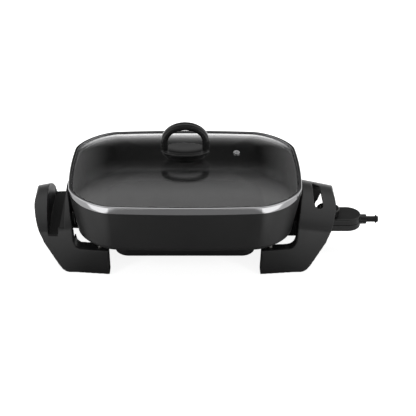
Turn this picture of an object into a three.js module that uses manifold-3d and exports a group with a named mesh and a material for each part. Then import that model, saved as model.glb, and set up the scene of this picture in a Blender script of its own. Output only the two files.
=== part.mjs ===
// Electric skillet: a rectangular pan on two moulded legs, a lift-off glass lid and a plug-in probe.
// Millimetres, +Z up, the table at Z 0, the long side along X and the front towards -Y.
import * as THREE from 'three';
import { mergeVertices } from 'three/addons/utils/BufferGeometryUtils.js';
import Module from 'manifold-3d';

const wasm = await Module();
wasm.setup();

// Driving sizes of the whole object
const bandHalfLength = 200;
const bandHalfWidth = 150;
const rimHeight = 162;
const gap = 0.3;
const overrun = 10;

// Outline shared by the lid and the pan: long soft corners, and sides that bow out a little
const cornerReach = 65;
const cornerPowerShare = 1.7;
const sideBow = 10;
const cornerInsetShare = 0.6;
const smallCornerShare = 0.35;
const widestCornerShare = 0.92;
const cornerSteps = 6;
const sideSteps = 2;

// Pan casting
const bandHeight = 12.5;
const panRimInset = 1.2;
const panRimRound = 0.9;
const panWall = 4.5;
const panDepth = 94;
const panTaper = 12.5;
const bottomRoll = 14;
const cookingDepth = 72;
const panFloor = 5;
const insideRoll = 20;
const recessDraft = 3;
const grooveInset = 24;
const grooveWidth = 7;
const grooveDepth = 0.8;
const rollSteps = 3;

// Screws: one shank and one head for the whole product, and the holes that take them
const shankRadius = 2;
const screwBrimShare = 0.7;
const screwCrownShare = 0.6;
const screwHoleRadius = 2.3;
const headRadius = 4;
const headHeight = 2.6;
const screwBite = 10;
const bossRadius = 4.8;
const bossDepth = 13;

// Legs, measured outwards from the end of the band and downwards from its top
const legWall = 3.5;
const footInnerReach = -70;
const armInnerReach = -68.5;
const footOuterReach = 3;
const footCornerReach = 11.5;
const calfFootReach = 22;
const calfFootHeight = 20;
const calfTopReach = 43.7;
const calfTopDrop = 105;
const thighReach = 45.5;
const thighDrop = 96;
const bulgeInReach = 57;
const bulgeInDrop = 76;
const bulgeReach = 62;
const bulgeDrop = 55;
const bulgeSwell = 7;
const crestOuterReach = 56.5;
const crestOuterDrop = 44;
const crestInnerReach = 5.5;
const crestInnerDrop = 35.4;
const crestCover = 1;
const collarReach = -0.5;
const collarDrop = 46;
const innerFaceTopReach = -6.7;
const innerFaceTopDrop = 69;
const innerFaceFootReach = -8.7;
const innerFaceFootDrop = 98;
const elbowInnerReach = -10;
const armDrop = 114.2;
const elbowReach = -25;
const legHalfDepth = 91;
const faceDraft = 4;
const footDepth = 22;
const shoulderInset = 18.6;
const shoulderFall = 26.4;
const shoulderRound = 12;
const rightArchDrop = 72;
const leftArchDrop = 101;
const archPowerShare = 4;
const windowDrop = 64;
const windowFootDrop = 105;
const windowClearance = 3;
const windowEndInset = 2;
const endOpeningReach = 36;
const endOpeningFootDrop = 112;
const droopFullDrop = 72;
const droopFootDrop = 110;
const droopShare = 0.19;
const plumbReach = -35;
const slantShare = 0.00125;
const ribThickness = 2.4;
const ribPlaceShares = [0.3, 0.62];

// Openings in the legs
const gripInnerReach = 7.5;
const gripOuterReach = 37;
const gripOuterBow = 4.5;
const gripDraftShare = 0.045;
const gripStepReach = 18;
const gripFloorDrop = 91;
const gripLipDrop = 89;
const gripStepDrop = 76;
const gripRearLipDrop = 89.5;
const slotInnerReach = 23.3;
const slotOuterReach = 38;
const slotRearOuterReach = 35.2;
const slotRear = 17;
const slotRearSlant = 8;
const slotFront = 49;
const slotFootDrop = 66;

// Spacers and feet
const spacerRadius = 3.5;
const spacerReach = -53;
const padLength = 16;
const padWidth = 15;
const padThickness = 1;
const padRadius = 3;
const padReach = -4;

// Side brackets between the pan and the legs
const bracketHalfWidth = 20;
const bracketBottomDrop = 88;
const bracketTopDrop = 70;
const sideScrewDrop = 80;
const sideScrewBite = 6;
const sideScrewHalfSpacing = 11;

// Casing under the pan
const trayEndInset = 80;
const traySideInset = 45;
const trayCorner = 24;
const trayDrop = 119;
const trayWall = 1.6;
const trayRoll = 6;
const trayWindowHalfWidth = 22;
const trayWindowHalfHeight = 8;
const trayScrewInset = 62;

// Heating element, contact pins and the boss for the sensor
const elementRadius = 3.25;
const elementClearance = 1.6;
const elementEndInset = 28;
const elementSideInset = 31;
const elementBend = 18;
const coldEndLength = 30;
const pinHalfSpacing = 14;
const pinRadius = 2.4;
const pinInset = 5;
const probeDrop = 103.2;
const sensorRadius = 3.2;
const sensorClearance = 0.4;
const sensorBossInset = 22;
const sensorBossLength = 28;
const sensorBossHalfWidth = 8;

// Guard round the socket
const guardHalfWidth = 30;
const guardBelow = 17.5;
const guardAbove = 13;
const guardMouthReach = 12;
const guardDepth = 34;
const guardWall = 2.5;
const guardStepClearance = 2.5;
const guardEarReach = 37;
const guardEarLength = 14;
const guardEarOverhang = 11;
const guardEarThickness = 3;
const guardScrewOverhang = 5.5;

// Lid: band, glass, vent and knob
const bandThickness = 1.2;
const bandLip = 5.5;
const bandShelf = 8.4;
const bandDropLip = 4;
const glassThickness = 4;
const glassEdgeInset = 2;
const glassEdgeDrop = 3.2;
const glassLandInset = 9;
const glassLandDrop = 0.6;
const domeRise = 17;
const domeCrownHalfWidth = 22;
const domePowerShare = 2.5;
const domeStepShares = [0, 0.08, 0.18, 0.32, 0.5, 0.72, 1];
const ventX = 90;
const ventY = 23;
const ventBore = 2.4;
const ventNeck = 3.8;
const ventFlange = 6;
const ventFlangeHeight = 0.9;
const ventSlopeShare = 0.12;
const ventLipShare = 0.85;
const knobHalfLength = 42;
const knobHalfWidth = 26;
const knobFootShare = 0.8;
const knobWaistShare = 0.93;
const knobSeatHeight = 4.5;
const knobSeatShare = 0.72;
const knobRimRise = 18;
const knobWaistRise = 9.5;
const dishRim = 2.6;
const dishDepth = 6.5;
const dishFloorShare = 0.66;
const loopTopRise = 67.5;
const loopSpringRise = 33;
const loopThickness = 12.6;
const loopWidth = 14;
const loopBevel = 3.4;
const loopSink = 9;
const knobHoleRadius = 3;
const knobShankRadius = 2.5;
const knobHeadRadius = 6;
const knobHeadHeight = 2.8;
const knobWasherRadius = 9;
const knobWasherHeight = 1.5;
const knobScrewBite = 5;
const ovalSteps = 24;

// Probe: housing, dial, sensor rod and the strain relief of the cord
const housingBackGap = 4;
const housingLength = 95.5;
const housingHalfWidth = 25;
const housingBelow = 11.8;
const housingAbove = 11.5;
const housingWall = 2.5;
const housingRound = 1.6;
const noseHalfWidth = 22;
const noseHalfHeight = 6;
const noseLength = 28;
const contactRadius = 3.6;
const contactBore = 2.7;
const contactLength = 20;
const sensorReach = 96;
const sensorSeat = 12;
const collarRadius = 8.7;
const collarLength = 10.2;
const reliefRadius = 5.3;
const reliefInside = 9.5;
const reliefFlange = 2.5;
const reliefFlangeRadius = 7.4;
const reliefSleeveLength = 16;
const reliefRingLength = 2.4;
const reliefRingRadius = 7.3;
const reliefTailLength = 2.7;
const cordBore = 3.4;
const cordBoreDepth = 14;
const housingScrewBackInset = 13;
const housingScrewTipInset = 19.5;
const housingPost = 3.8;
const dialInset = 37;
const dialRadius = 20.6;
const dialHeight = 11.4;
const dialBevel = 1.2;
const dialFlutes = 28;
const fluteDepth = 0.7;
const dialShaftRadius = 3;
const dialShaftAbove = 7;
const dialShaftBelow = 9;
const dialClearance = 0.6;
const notchWidth = 1.6;
const notchDepth = 0.6;
const notchLength = 8;

// Sizes that follow from the driving ones
const rimSeat = rimHeight - bandHeight;
const panRimTop = rimSeat - gap;
const skirtBottom = rimHeight - panDepth;
const floorTop = rimHeight - cookingDepth;
const floorUnder = floorTop - panFloor;
const wallFootInset = panRimInset + panTaper;
const wallFootZ = skirtBottom + bottomRoll;
const axisZ = rimHeight - probeDrop;
const footBottom = padThickness + gap;
const armTop = rimHeight - armDrop;
const archHalfWidth = legHalfDepth - footDepth;
const shoulderHalfDepth = legHalfDepth - shoulderInset;
const faceHalfDepth = legHalfDepth - faceDraft;
const trayHalfLength = bandHalfLength - trayEndInset;
const trayHalfWidth = bandHalfWidth - traySideInset;
const trayScrewX = trayHalfLength - trayScrewInset;
const elementHalfLength = trayHalfLength - elementEndInset;
const elementHalfWidth = trayHalfWidth - elementSideInset;
const sensorBossX = trayHalfLength - sensorBossInset;
const elementEndX = trayHalfLength + coldEndLength;
const guardMouthX = bandHalfLength + guardMouthReach;
const guardWallX = guardMouthX - guardDepth;
const pinEndX = guardMouthX - pinInset;
const guardEarX = trayHalfLength + guardEarReach;
const guardEarHalfWidth = guardHalfWidth + guardEarOverhang;
const guardScrewY = guardHalfWidth + guardScrewOverhang;
const domeInset = bandHalfWidth - domeCrownHalfWidth;
const housingBackX = guardMouthX + housingBackGap;
const housingTipX = housingBackX + housingLength;
const noseX = housingBackX - noseLength;
const sensorTipX = noseX - sensorReach;
const collarEndX = housingTipX + collarLength;
const reliefInnerX = housingTipX - reliefInside;
const reliefRingX = collarEndX + reliefSleeveLength;
const reliefEndX = reliefRingX + reliefRingLength + reliefTailLength;
const housingScrewBackX = housingBackX + housingScrewBackInset;
const housingScrewTipX = housingTipX - housingScrewTipInset;
const dialX = housingBackX + dialInset;
const centreShift = -(reliefEndX - (bandHalfLength + bulgeReach)) / 2;

// Lofts through rings of points, all with the same count and running anticlockwise from above
function loft(rings, joined = false) {
  const count = rings[0].length;
  const positions = rings.flat().flatMap((point) => point.toArray());
  const index = [];
  const last = rings.length - 1;
  for (let level = 0; level < (joined ? rings.length : last); level += 1) {
    const upper = (level + 1) % rings.length;
    for (let step = 0; step < count; step += 1) {
      const next = (step + 1) % count;
      const a = level * count + step;
      const b = level * count + next;
      const c = upper * count + next;
      const d = upper * count + step;
      index.push(a, b, c, a, c, d);
    }
  }
  if (!joined) {
    const bottom = rings.length * count;
    const middle = new THREE.Vector3(0, 0, rings[0][0].z);
    const end = new THREE.Vector3(0, 0, rings[last][0].z);
    positions.push(...middle.toArray(), ...end.toArray());
    for (let step = 0; step < count; step += 1) {
      const next = (step + 1) % count;
      index.push(bottom, next, step);
      index.push(bottom + 1, last * count + step, last * count + next);
    }
  }
  const geometry = new THREE.BufferGeometry();
  geometry.setAttribute('position', new THREE.Float32BufferAttribute(positions, 3));
  geometry.setIndex(index);
  return geometry;
}

// One ring of the lid and pan outline, inset from the band's outer face
function outlineRing(inset, height) {
  const halfX = bandHalfLength - inset;
  const halfY = bandHalfWidth - inset;
  const wanted = Math.max(cornerReach - inset * cornerInsetShare, cornerReach * smallCornerShare);
  const reach = Math.min(wanted, halfY * widestCornerShare);
  const bow = (sideBow * halfY) / bandHalfWidth;
  const quarter = [];
  const place = (x, y, runShare, riseShare) => quarter.push([
    x - runShare * bow * (y / halfY) ** 2,
    y - riseShare * bow * (x / halfX) ** 2,
  ]);
  for (let step = 0; step < sideSteps; step += 1) {
    const share = step / sideSteps;
    place(halfX, (halfY - reach) * share, 1, share);
  }
  for (let step = 0; step <= cornerSteps; step += 1) {
    const angle = (Math.PI / 2) * (step / cornerSteps);
    const across = Math.cos(angle) ** (2 / cornerPowerShare);
    const along = Math.sin(angle) ** (2 / cornerPowerShare);
    place(halfX - reach + reach * across, halfY - reach + reach * along, 1, 1);
  }
  for (let step = 1; step <= sideSteps; step += 1) {
    const share = 1 - step / sideSteps;
    place((halfX - reach) * share, halfY, share, 1);
  }
  const forward = quarter.slice(0, -1);
  const backward = quarter.slice(1).reverse();
  const round = [
    ...forward,
    ...backward.map(([x, y]) => [-x, y]),
    ...forward.map(([x, y]) => [-x, -y]),
    ...backward.map(([x, y]) => [x, -y]),
  ];
  return round.map(([x, y]) => new THREE.Vector3(x, y, height));
}

function ovalRing(halfX, halfY, height) {
  const ring = [];
  for (let step = 0; step < ovalSteps; step += 1) {
    const angle = (2 * Math.PI * step) / ovalSteps;
    ring.push(new THREE.Vector3(halfX * Math.cos(angle), halfY * Math.sin(angle), height));
  }
  return ring;
}

// Flat shapes
function roundedRectangle(halfX, halfY, radius) {
  const shape = new THREE.Shape();
  shape.moveTo(halfX, radius - halfY);
  shape.absarc(halfX - radius, halfY - radius, radius, 0, Math.PI / 2);
  shape.absarc(radius - halfX, halfY - radius, radius, Math.PI / 2, Math.PI);
  shape.absarc(radius - halfX, radius - halfY, radius, Math.PI, 1.5 * Math.PI);
  shape.absarc(halfX - radius, radius - halfY, radius, 1.5 * Math.PI, 2 * Math.PI);
  return shape;
}

function rectangle(left, right, bottom, top) {
  return new THREE.Shape([
    new THREE.Vector2(left, bottom),
    new THREE.Vector2(right, bottom),
    new THREE.Vector2(right, top),
    new THREE.Vector2(left, top),
  ]);
}

// The points of an outline moved inwards by one distance, the outline running anticlockwise
function insetPoints(points, distance) {
  return points.map((point, place) => {
    const before = points[(place + points.length - 1) % points.length];
    const after = points[(place + 1) % points.length];
    const arriving = point.clone().sub(before).normalize();
    const leaving = after.clone().sub(point).normalize();
    const inward = new THREE.Vector2(-arriving.y - leaving.y, arriving.x + leaving.x).normalize();
    const square = new THREE.Vector2(-arriving.y, arriving.x);
    return point.clone().addScaledVector(inward, distance / inward.dot(square));
  });
}

// Extrusions of a flat shape: x and y of the shape become the two axes left over
function extrudeAlong(basis, shape, from, to, curveSegments) {
  const geometry = new THREE.ExtrudeGeometry(shape, {
    depth: to - from,
    bevelEnabled: false,
    curveSegments,
  });
  geometry.translate(0, 0, from);
  geometry.applyMatrix4(basis);
  return geometry;
}

const alongX = new THREE.Matrix4().makeBasis(
  new THREE.Vector3(0, 1, 0),
  new THREE.Vector3(0, 0, 1),
  new THREE.Vector3(1, 0, 0),
);
const alongY = new THREE.Matrix4().makeBasis(
  new THREE.Vector3(-1, 0, 0),
  new THREE.Vector3(0, 0, 1),
  new THREE.Vector3(0, 1, 0),
);
const alongZ = new THREE.Matrix4();
const lathedAlongX = new THREE.Matrix4().makeRotationZ(-Math.PI / 2);
const lathedAlongZ = new THREE.Matrix4().makeRotationX(Math.PI / 2);

const extrudeX = (shape, from, to, steps = 12) => extrudeAlong(alongX, shape, from, to, steps);
const extrudeZ = (shape, from, to, steps = 12) => extrudeAlong(alongZ, shape, from, to, steps);

// A shape drawn in X and Z, extruded from one Y to another
function extrudeY(points, from, to) {
  const mirrored = new THREE.Shape(points.map((point) => new THREE.Vector2(-point.x, point.y)));
  return extrudeAlong(alongY, mirrored, from, to, 1);
}

// Round pieces from pairs of radius and place along the axis
function turned(axis, profile, steps = 16) {
  const points = profile.map(([radius, place]) => new THREE.Vector2(radius, place));
  const geometry = new THREE.LatheGeometry(points, steps);
  geometry.applyMatrix4(axis === 'x' ? lathedAlongX : lathedAlongZ);
  return geometry;
}

function rod(axis, radius, from, to, steps = 12) {
  return turned(axis, [[0, from], [radius, from], [radius, to], [0, to]], steps);
}

// Joining and cutting closed meshes
function solidOf(geometry) {
  const bare = geometry.clone();
  bare.deleteAttribute('normal');
  bare.deleteAttribute('uv');
  const merged = mergeVertices(bare);
  return new wasm.Manifold(new wasm.Mesh({
    numProp: 3,
    vertProperties: new Float32Array(merged.attributes.position.array),
    triVerts: new Uint32Array(merged.index.array),
  }));
}

function geometryOf(solid) {
  const mesh = solid.getMesh();
  const geometry = new THREE.BufferGeometry();
  geometry.setAttribute('position', new THREE.BufferAttribute(mesh.vertProperties, 3));
  geometry.setIndex(new THREE.BufferAttribute(mesh.triVerts, 1));
  return geometry;
}

const moved = (geometry, x, y, z = 0) => geometry.clone().translate(x, y, z);
const join = (first, ...rest) => rest.reduce((whole, part) => whole.add(solidOf(part)), first);
const cut = (first, ...rest) => rest.reduce((whole, part) => whole.subtract(solidOf(part)), first);

// Screws with a domed head, the shank pointing away from the head along the axis
function screw(axis, headFrom, shankTo, sizes = {}) {
  const shank = sizes.shank ?? shankRadius;
  const head = sizes.head ?? headRadius;
  const height = sizes.height ?? headHeight;
  const way = Math.sign(shankTo - headFrom);
  const brim = head * screwBrimShare;
  const profile = [
    [0, headFrom],
    [brim, headFrom],
    [head, headFrom + way * height * screwCrownShare],
    [head, headFrom + way * height],
    [shank, headFrom + way * height],
    [shank, shankTo],
    [0, shankTo],
  ];
  return turned(axis, way > 0 ? profile : profile.reverse(), 8);
}

// Pan casting: skirted underside, tapering wall, rounded floor with a shallow groove round it
const panWallSlope = panTaper / (panRimTop - wallFootZ);
const panWallInset = (height) => panRimInset + (panRimTop - height) * panWallSlope;
const panEndAt = (height) => bandHalfLength - panWallInset(height);
const skirtInset = wallFootInset + bottomRoll;
const slantAt = (reach) => 1 - slantShare * (reach - plumbReach);

function spacerPlaces() {
  const x = bandHalfLength + spacerReach;
  const y = (legHalfDepth - faceDraft - legWall) * slantAt(spacerReach) - headRadius - gap;
  return [[x, -y, 'right_front'], [x, y, 'right_rear'], [-x, -y, 'left_front'], [-x, y, 'left_rear']];
}

function rollOf(inset, height, radius, from, to) {
  const points = [];
  for (let step = 0; step <= rollSteps; step += 1) {
    const angle = from + ((to - from) * step) / rollSteps;
    points.push([inset - radius * Math.cos(angle), height - radius * Math.sin(angle)]);
  }
  return points;
}

function makePan() {
  const insideTop = panRimInset + panWall;
  const insideRollZ = floorTop + insideRoll;
  const insideFoot = panWallInset(insideRollZ) + panWall;
  const floorEdge = insideFoot + insideRoll;
  const section = [
    [skirtInset + panWall + recessDraft, floorUnder],
    [skirtInset + panWall, skirtBottom],
    ...rollOf(skirtInset, wallFootZ, bottomRoll, Math.PI / 2, 0),
    [panRimInset, panRimTop - panRimRound],
    [panRimInset + panRimRound, panRimTop],
    [insideTop, panRimTop],
    ...rollOf(floorEdge, insideRollZ, insideRoll, 0, Math.PI / 2),
    [floorEdge + grooveInset, floorTop],
    [floorEdge + grooveInset + grooveDepth, floorTop - grooveDepth],
    [floorEdge + grooveInset + grooveWidth - grooveDepth, floorTop - grooveDepth],
    [floorEdge + grooveInset + grooveWidth, floorTop],
  ];
  const casting = solidOf(loft(section.map(([inset, height]) => outlineRing(inset, height))));
  const into = floorUnder + panFloor / 2;
  const legBoss = rod('z', bossRadius, skirtBottom - gap, into);
  const trayBoss = rod('z', bossRadius, trayFloorTop() + gap, into);
  const guardBoss = rod('z', bossRadius, skirtBottom, into);
  const sensorBlock = extrudeX(
    rectangle(-sensorBossHalfWidth, sensorBossHalfWidth, axisZ - sensorBossHalfWidth, into),
    sensorBossX - sensorBossLength / 2,
    sensorBossX + sensorBossLength / 2,
  );
  const bosses = [
    ...spacerPlaces().map(([x, y]) => moved(legBoss, x, y)),
    ...[-trayScrewX, trayScrewX].map((x) => moved(trayBoss, x, 0)),
    ...[-guardScrewY, guardScrewY].map((y) => moved(guardBoss, guardEarX, y)),
    sensorBlock,
  ];
  const hole = (bottom) => rod('z', screwHoleRadius, bottom - overrun, bottom + bossDepth);
  const sensorHole = rod(
    'x',
    sensorRadius + sensorClearance,
    sensorTipX - sensorClearance,
    sensorBossX + sensorBossLength,
  );
  const holes = [
    ...spacerPlaces().map(([x, y]) => moved(hole(skirtBottom - gap), x, y)),
    ...[-trayScrewX, trayScrewX].map((x) => moved(hole(trayFloorTop() + gap), x, 0)),
    ...[-guardScrewY, guardScrewY].map((y) => moved(hole(skirtBottom), guardEarX, y)),
    moved(sensorHole, 0, 0, axisZ),
  ];
  return geometryOf(cut(join(casting, ...bosses), ...holes));
}

// Casing under the pan: an open tray of thin sheet with rolled edges
const trayBottom = () => rimHeight - trayDrop;
const trayFloorTop = () => trayBottom() + trayWall;

function makeTray() {
  const top = floorUnder - gap;
  const ring = (inset, height) => roundedRectangle(
    trayHalfLength - inset,
    trayHalfWidth - inset,
    trayCorner - inset,
  ).getPoints(4).slice(0, -1).map((point) => new THREE.Vector3(point.x, point.y, height));
  const rise = trayRoll * (1 - Math.SQRT1_2);
  const rings = [
    ring(trayRoll, trayBottom()),
    ring(rise, trayBottom() + rise),
    ring(0, trayBottom() + trayRoll),
    ring(0, top),
    ring(trayWall, top),
    ring(trayWall, trayBottom() + trayRoll),
    ring(trayWall + rise, trayFloorTop() + rise),
    ring(trayRoll + trayWall, trayFloorTop()),
  ];
  const window = extrudeX(
    rectangle(
      -trayWindowHalfWidth,
      trayWindowHalfWidth,
      axisZ - trayWindowHalfHeight,
      axisZ + trayWindowHalfHeight,
    ),
    trayHalfLength - overrun,
    trayHalfLength + overrun,
  );
  const hole = rod('z', screwHoleRadius, trayBottom() - overrun, trayBottom() + overrun);
  const holes = [-trayScrewX, trayScrewX].map((x) => moved(hole, x, 0));
  return geometryOf(cut(solidOf(loft(rings)), window, ...holes));
}

// Heating element: one sheathed tube, bent in a loop under the floor, both ends out to the socket
function makeElement() {
  const high = floorUnder - elementClearance - elementRadius;
  const rampX = sensorBossX + sensorBossLength / 2;
  const front = -elementHalfWidth;
  const mainX = sensorBossX - sensorBossLength / 2 - elementBend / 2;
  const half = [
    [elementEndX, axisZ, -pinHalfSpacing],
    [rampX + elementBend / 2, axisZ, -pinHalfSpacing],
    [rampX - elementBend, high, -pinHalfSpacing - elementBend / 4],
    [mainX, high, -pinHalfSpacing - elementBend],
    [mainX, high, front + elementBend],
    [mainX - elementBend, high, front],
    [elementBend - elementHalfLength, high, front],
    [-elementHalfLength, high, front + elementBend],
  ];
  const points = [
    ...half.map(([x, z, y]) => new THREE.Vector3(x, y, z)),
    ...half.reverse().map(([x, z, y]) => new THREE.Vector3(x, -y, z)),
  ];
  const path = new THREE.CatmullRomCurve3(points, false, 'centripetal');
  const section = new THREE.Shape().absarc(0, 0, elementRadius, 0, 2 * Math.PI);
  return new THREE.ExtrudeGeometry(section, { steps: 54, extrudePath: path, curveSegments: 4 });
}

// Guard round the socket: a duct from the tray to an open mouth, with a wall that holds the pins
function makeGuard() {
  const low = axisZ - guardBelow;
  const under = skirtBottom - gap;
  const tall = axisZ + guardAbove;
  const backX = trayHalfLength + gap;
  const stepX = panEndAt(wallFootZ) + guardStepClearance;
  const outside = [
    new THREE.Vector2(backX, low),
    new THREE.Vector2(guardMouthX, low),
    new THREE.Vector2(guardMouthX, tall),
    new THREE.Vector2(stepX, tall),
    new THREE.Vector2(stepX, under),
    new THREE.Vector2(backX, under),
  ];
  const shell = solidOf(extrudeY(outside, -guardHalfWidth, guardHalfWidth));
  const ears = extrudeZ(
    rectangle(
      guardEarX - guardEarLength / 2,
      guardEarX + guardEarLength / 2,
      -guardEarHalfWidth,
      guardEarHalfWidth,
    ),
    under - guardEarThickness,
    under,
  );
  const inside = guardHalfWidth - guardWall;
  const duct = extrudeX(
    rectangle(-inside, inside, low + guardWall, under - guardEarThickness),
    backX - overrun,
    guardWallX - guardWall,
  );
  const mouthTop = tall - guardWall;
  const mouth = extrudeX(
    rectangle(-inside, inside, low + guardWall, mouthTop),
    stepX + guardWall,
    guardMouthX + overrun,
  );
  const throat = extrudeX(
    rectangle(-inside, inside, low + guardWall, under - guardWall),
    guardWallX,
    guardMouthX,
  );
  const pinHole = rod('x', pinRadius + gap, guardWallX - overrun, guardWallX + overrun);
  const sensorHole = rod(
    'x',
    sensorRadius + sensorClearance,
    guardWallX - overrun,
    guardWallX + overrun,
  );
  const screwHole = rod('z', screwHoleRadius, under - overrun, under + overrun);
  return geometryOf(cut(
    join(shell, ears),
    duct,
    mouth,
    throat,
    moved(pinHole, 0, -pinHalfSpacing, axisZ),
    moved(pinHole, 0, pinHalfSpacing, axisZ),
    moved(sensorHole, 0, 0, axisZ),
    ...[-guardScrewY, guardScrewY].map((y) => moved(screwHole, guardEarX, y)),
  ));
}

function makePin() {
  const round = pinRadius / 2;
  return turned('x', [
    [0, elementEndX + gap],
    [pinRadius, elementEndX + gap],
    [pinRadius, pinEndX - round],
    [round, pinEndX],
    [0, pinEndX],
  ], 10);
}

// Leg outline seen from the front, for the right-hand end, running anticlockwise
const legX = (reach) => bandHalfLength + reach;
const legZ = (drop) => rimHeight - drop;

function legOutline() {
  const shape = new THREE.Shape();
  shape.moveTo(legX(footInnerReach), footBottom);
  shape.lineTo(legX(footOuterReach), footBottom);
  shape.quadraticCurveTo(
    legX(footCornerReach),
    footBottom,
    legX(calfFootReach),
    calfFootHeight,
  );
  shape.lineTo(legX(calfTopReach), legZ(calfTopDrop));
  shape.bezierCurveTo(
    legX(thighReach),
    legZ(thighDrop),
    legX(bulgeInReach),
    legZ(bulgeInDrop),
    legX(bulgeReach),
    legZ(bulgeDrop),
  );
  shape.quadraticCurveTo(
    legX(bulgeReach),
    legZ(bulgeDrop - bulgeSwell),
    legX(crestOuterReach),
    legZ(crestOuterDrop),
  );
  shape.lineTo(legX(crestInnerReach), legZ(crestInnerDrop - crestCover));
  shape.lineTo(legX(collarReach), legZ(collarDrop));
  shape.lineTo(legX(innerFaceTopReach), legZ(innerFaceTopDrop));
  shape.lineTo(legX(innerFaceFootReach), legZ(innerFaceFootDrop));
  shape.quadraticCurveTo(
    legX(elbowInnerReach),
    armTop,
    legX(elbowReach),
    armTop,
  );
  shape.lineTo(legX(armInnerReach), armTop);
  const points = shape.getPoints(6);
  const closes = points[0].distanceTo(points[points.length - 1]) < gap;
  return closes ? points.slice(0, -1) : points;
}

// Leg outline seen from the side: a broad arch over the top and upright faces with a little draft
function archOverPoints() {
  const crestZ = legZ(crestInnerDrop);
  const slope = (2 * shoulderFall) / shoulderHalfDepth;
  const shoulder = new THREE.Vector2(shoulderHalfDepth, crestZ - shoulderFall);
  const turn = new THREE.Vector2(
    faceHalfDepth,
    shoulder.y - slope * (faceHalfDepth - shoulderHalfDepth),
  );
  const face = new THREE.Vector2(faceHalfDepth, turn.y - shoulderRound);
  const corner = new THREE.QuadraticBezierCurve(face, turn, shoulder);
  const half = [
    new THREE.Vector2(legHalfDepth, footBottom - overrun),
    new THREE.Vector2(legHalfDepth, footBottom),
    ...corner.getPoints(5),
  ];
  const steps = 7;
  for (let step = 1; step <= steps; step += 1) {
    const share = 1 - step / steps;
    half.push(new THREE.Vector2(shoulderHalfDepth * share, crestZ - shoulderFall * share ** 2));
  }
  const other = half.slice(0, -1).reverse();
  return [...half, ...other.map((point) => new THREE.Vector2(-point.x, point.y))];
}

// The leg's top droops outwards, and its front and rear faces turn in with the distance outwards
function leanOutwards(geometry, droops = true) {
  const place = geometry.attributes.position;
  const full = legZ(droopFullDrop);
  const foot = legZ(droopFootDrop);
  for (let step = 0; step < place.count; step += 1) {
    const reach = place.getX(step) - bandHalfLength;
    const height = THREE.MathUtils.clamp((place.getZ(step) - foot) / (full - foot), 0, 1);
    const fall = droopShare * height * (reach - crestInnerReach);
    place.setZ(step, place.getZ(step) - (droops ? fall : 0));
    place.setY(step, place.getY(step) * slantAt(reach));
  }
  return geometry;
}

function archOver(inset) {
  const points = inset > 0 ? insetPoints(archOverPoints(), inset) : archOverPoints();
  const from = legX(footInnerReach) - overrun;
  const to = legX(bulgeReach) + overrun;
  return solidOf(leanOutwards(extrudeX(new THREE.Shape(points), from, to)));
}

// Opening between the front and rear foot, with upright sides and a flat crown
function archBelow(drop) {
  const points = [new THREE.Vector2(archHalfWidth, -overrun)];
  const steps = 12;
  for (let step = 0; step <= steps; step += 1) {
    const angle = (Math.PI * step) / steps;
    const across = Math.sign(Math.cos(angle)) * Math.abs(Math.cos(angle)) ** (2 / archPowerShare);
    const rise = Math.abs(Math.sin(angle)) ** (2 / archPowerShare);
    points.push(new THREE.Vector2(
      archHalfWidth * across,
      footBottom + (legZ(drop) - footBottom) * rise,
    ));
  }
  points.push(new THREE.Vector2(-archHalfWidth, -overrun));
  const from = legX(footInnerReach) - overrun;
  const to = legX(bulgeReach) + overrun;
  return solidOf(leanOutwards(extrudeX(new THREE.Shape(points), from, to), false));
}

// Hollow of a leg, open towards the arch, with ribs left standing across each foot
function legHollow(keep) {
  const outline = insetPoints(legOutline(), legWall);
  const deep = legHalfDepth + overrun;
  let hollow = solidOf(extrudeY(outline, -deep, deep)).intersect(archOver(legWall));
  for (const share of ribPlaceShares) {
    const x = THREE.MathUtils.lerp(legX(armInnerReach), legX(footOuterReach), share);
    const rib = extrudeX(
      rectangle(-deep, deep, footBottom, armTop + legWall),
      x - ribThickness / 2,
      x + ribThickness / 2,
    );
    hollow = hollow.subtract(solidOf(rib));
  }
  return keep ? hollow.subtract(keep) : hollow;
}

function makeLeg(archDrop, keep, cuts) {
  const deep = legHalfDepth + overrun;
  const lug = extrudeZ(
    rectangle(
      legX(footInnerReach),
      legX(innerFaceTopReach) + legWall,
      -bracketHalfWidth - windowClearance,
      bracketHalfWidth + windowClearance,
    ),
    legZ(bracketBottomDrop),
    rimHeight,
  );
  let leg = solidOf(extrudeY(legOutline(), -deep, deep)).intersect(archOver(0));
  leg = leg.subtract(legHollow(keep)).subtract(archBelow(archDrop).subtract(solidOf(lug)));
  for (const opening of cuts) {
    leg = leg.subtract(opening);
  }
  const [x, y] = spacerPlaces()[1];
  const spacerHole = rod('z', screwHoleRadius, armTop - overrun, armTop + overrun);
  const sideZ = legZ(sideScrewDrop);
  const sideX = innerFaceAt(sideZ);
  const sideHole = rod('x', screwHoleRadius, sideX - overrun, sideX + overrun);
  return geometryOf(cut(
    leg,
    moved(spacerHole, x, y),
    moved(spacerHole, x, -y),
    moved(sideHole, 0, sideScrewHalfSpacing, sideZ),
    moved(sideHole, 0, -sideScrewHalfSpacing, sideZ),
  ));
}

// Channel between the pan's end and the strap: its outer wall bows and leans outwards
function gripChannel(widerBy, from) {
  const inner = legX(gripInnerReach) - widerBy;
  const outer = legX(gripOuterReach) + widerBy;
  const deep = legHalfDepth + overrun;
  const shape = new THREE.Shape();
  shape.moveTo(inner, -deep);
  shape.lineTo(outer - gripOuterBow, -deep);
  shape.quadraticCurveTo(outer + gripOuterBow, 0, outer - gripOuterBow, deep);
  shape.lineTo(inner, deep);
  const channel = extrudeZ(shape, from, rimHeight + overrun, 8);
  const place = channel.attributes.position;
  for (let step = 0; step < place.count; step += 1) {
    const leans = place.getX(step) > legX(gripStepReach);
    const lean = leans ? gripDraftShare * (place.getZ(step) - from) : 0;
    place.setX(step, place.getX(step) + lean);
  }
  return solidOf(channel);
}

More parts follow.
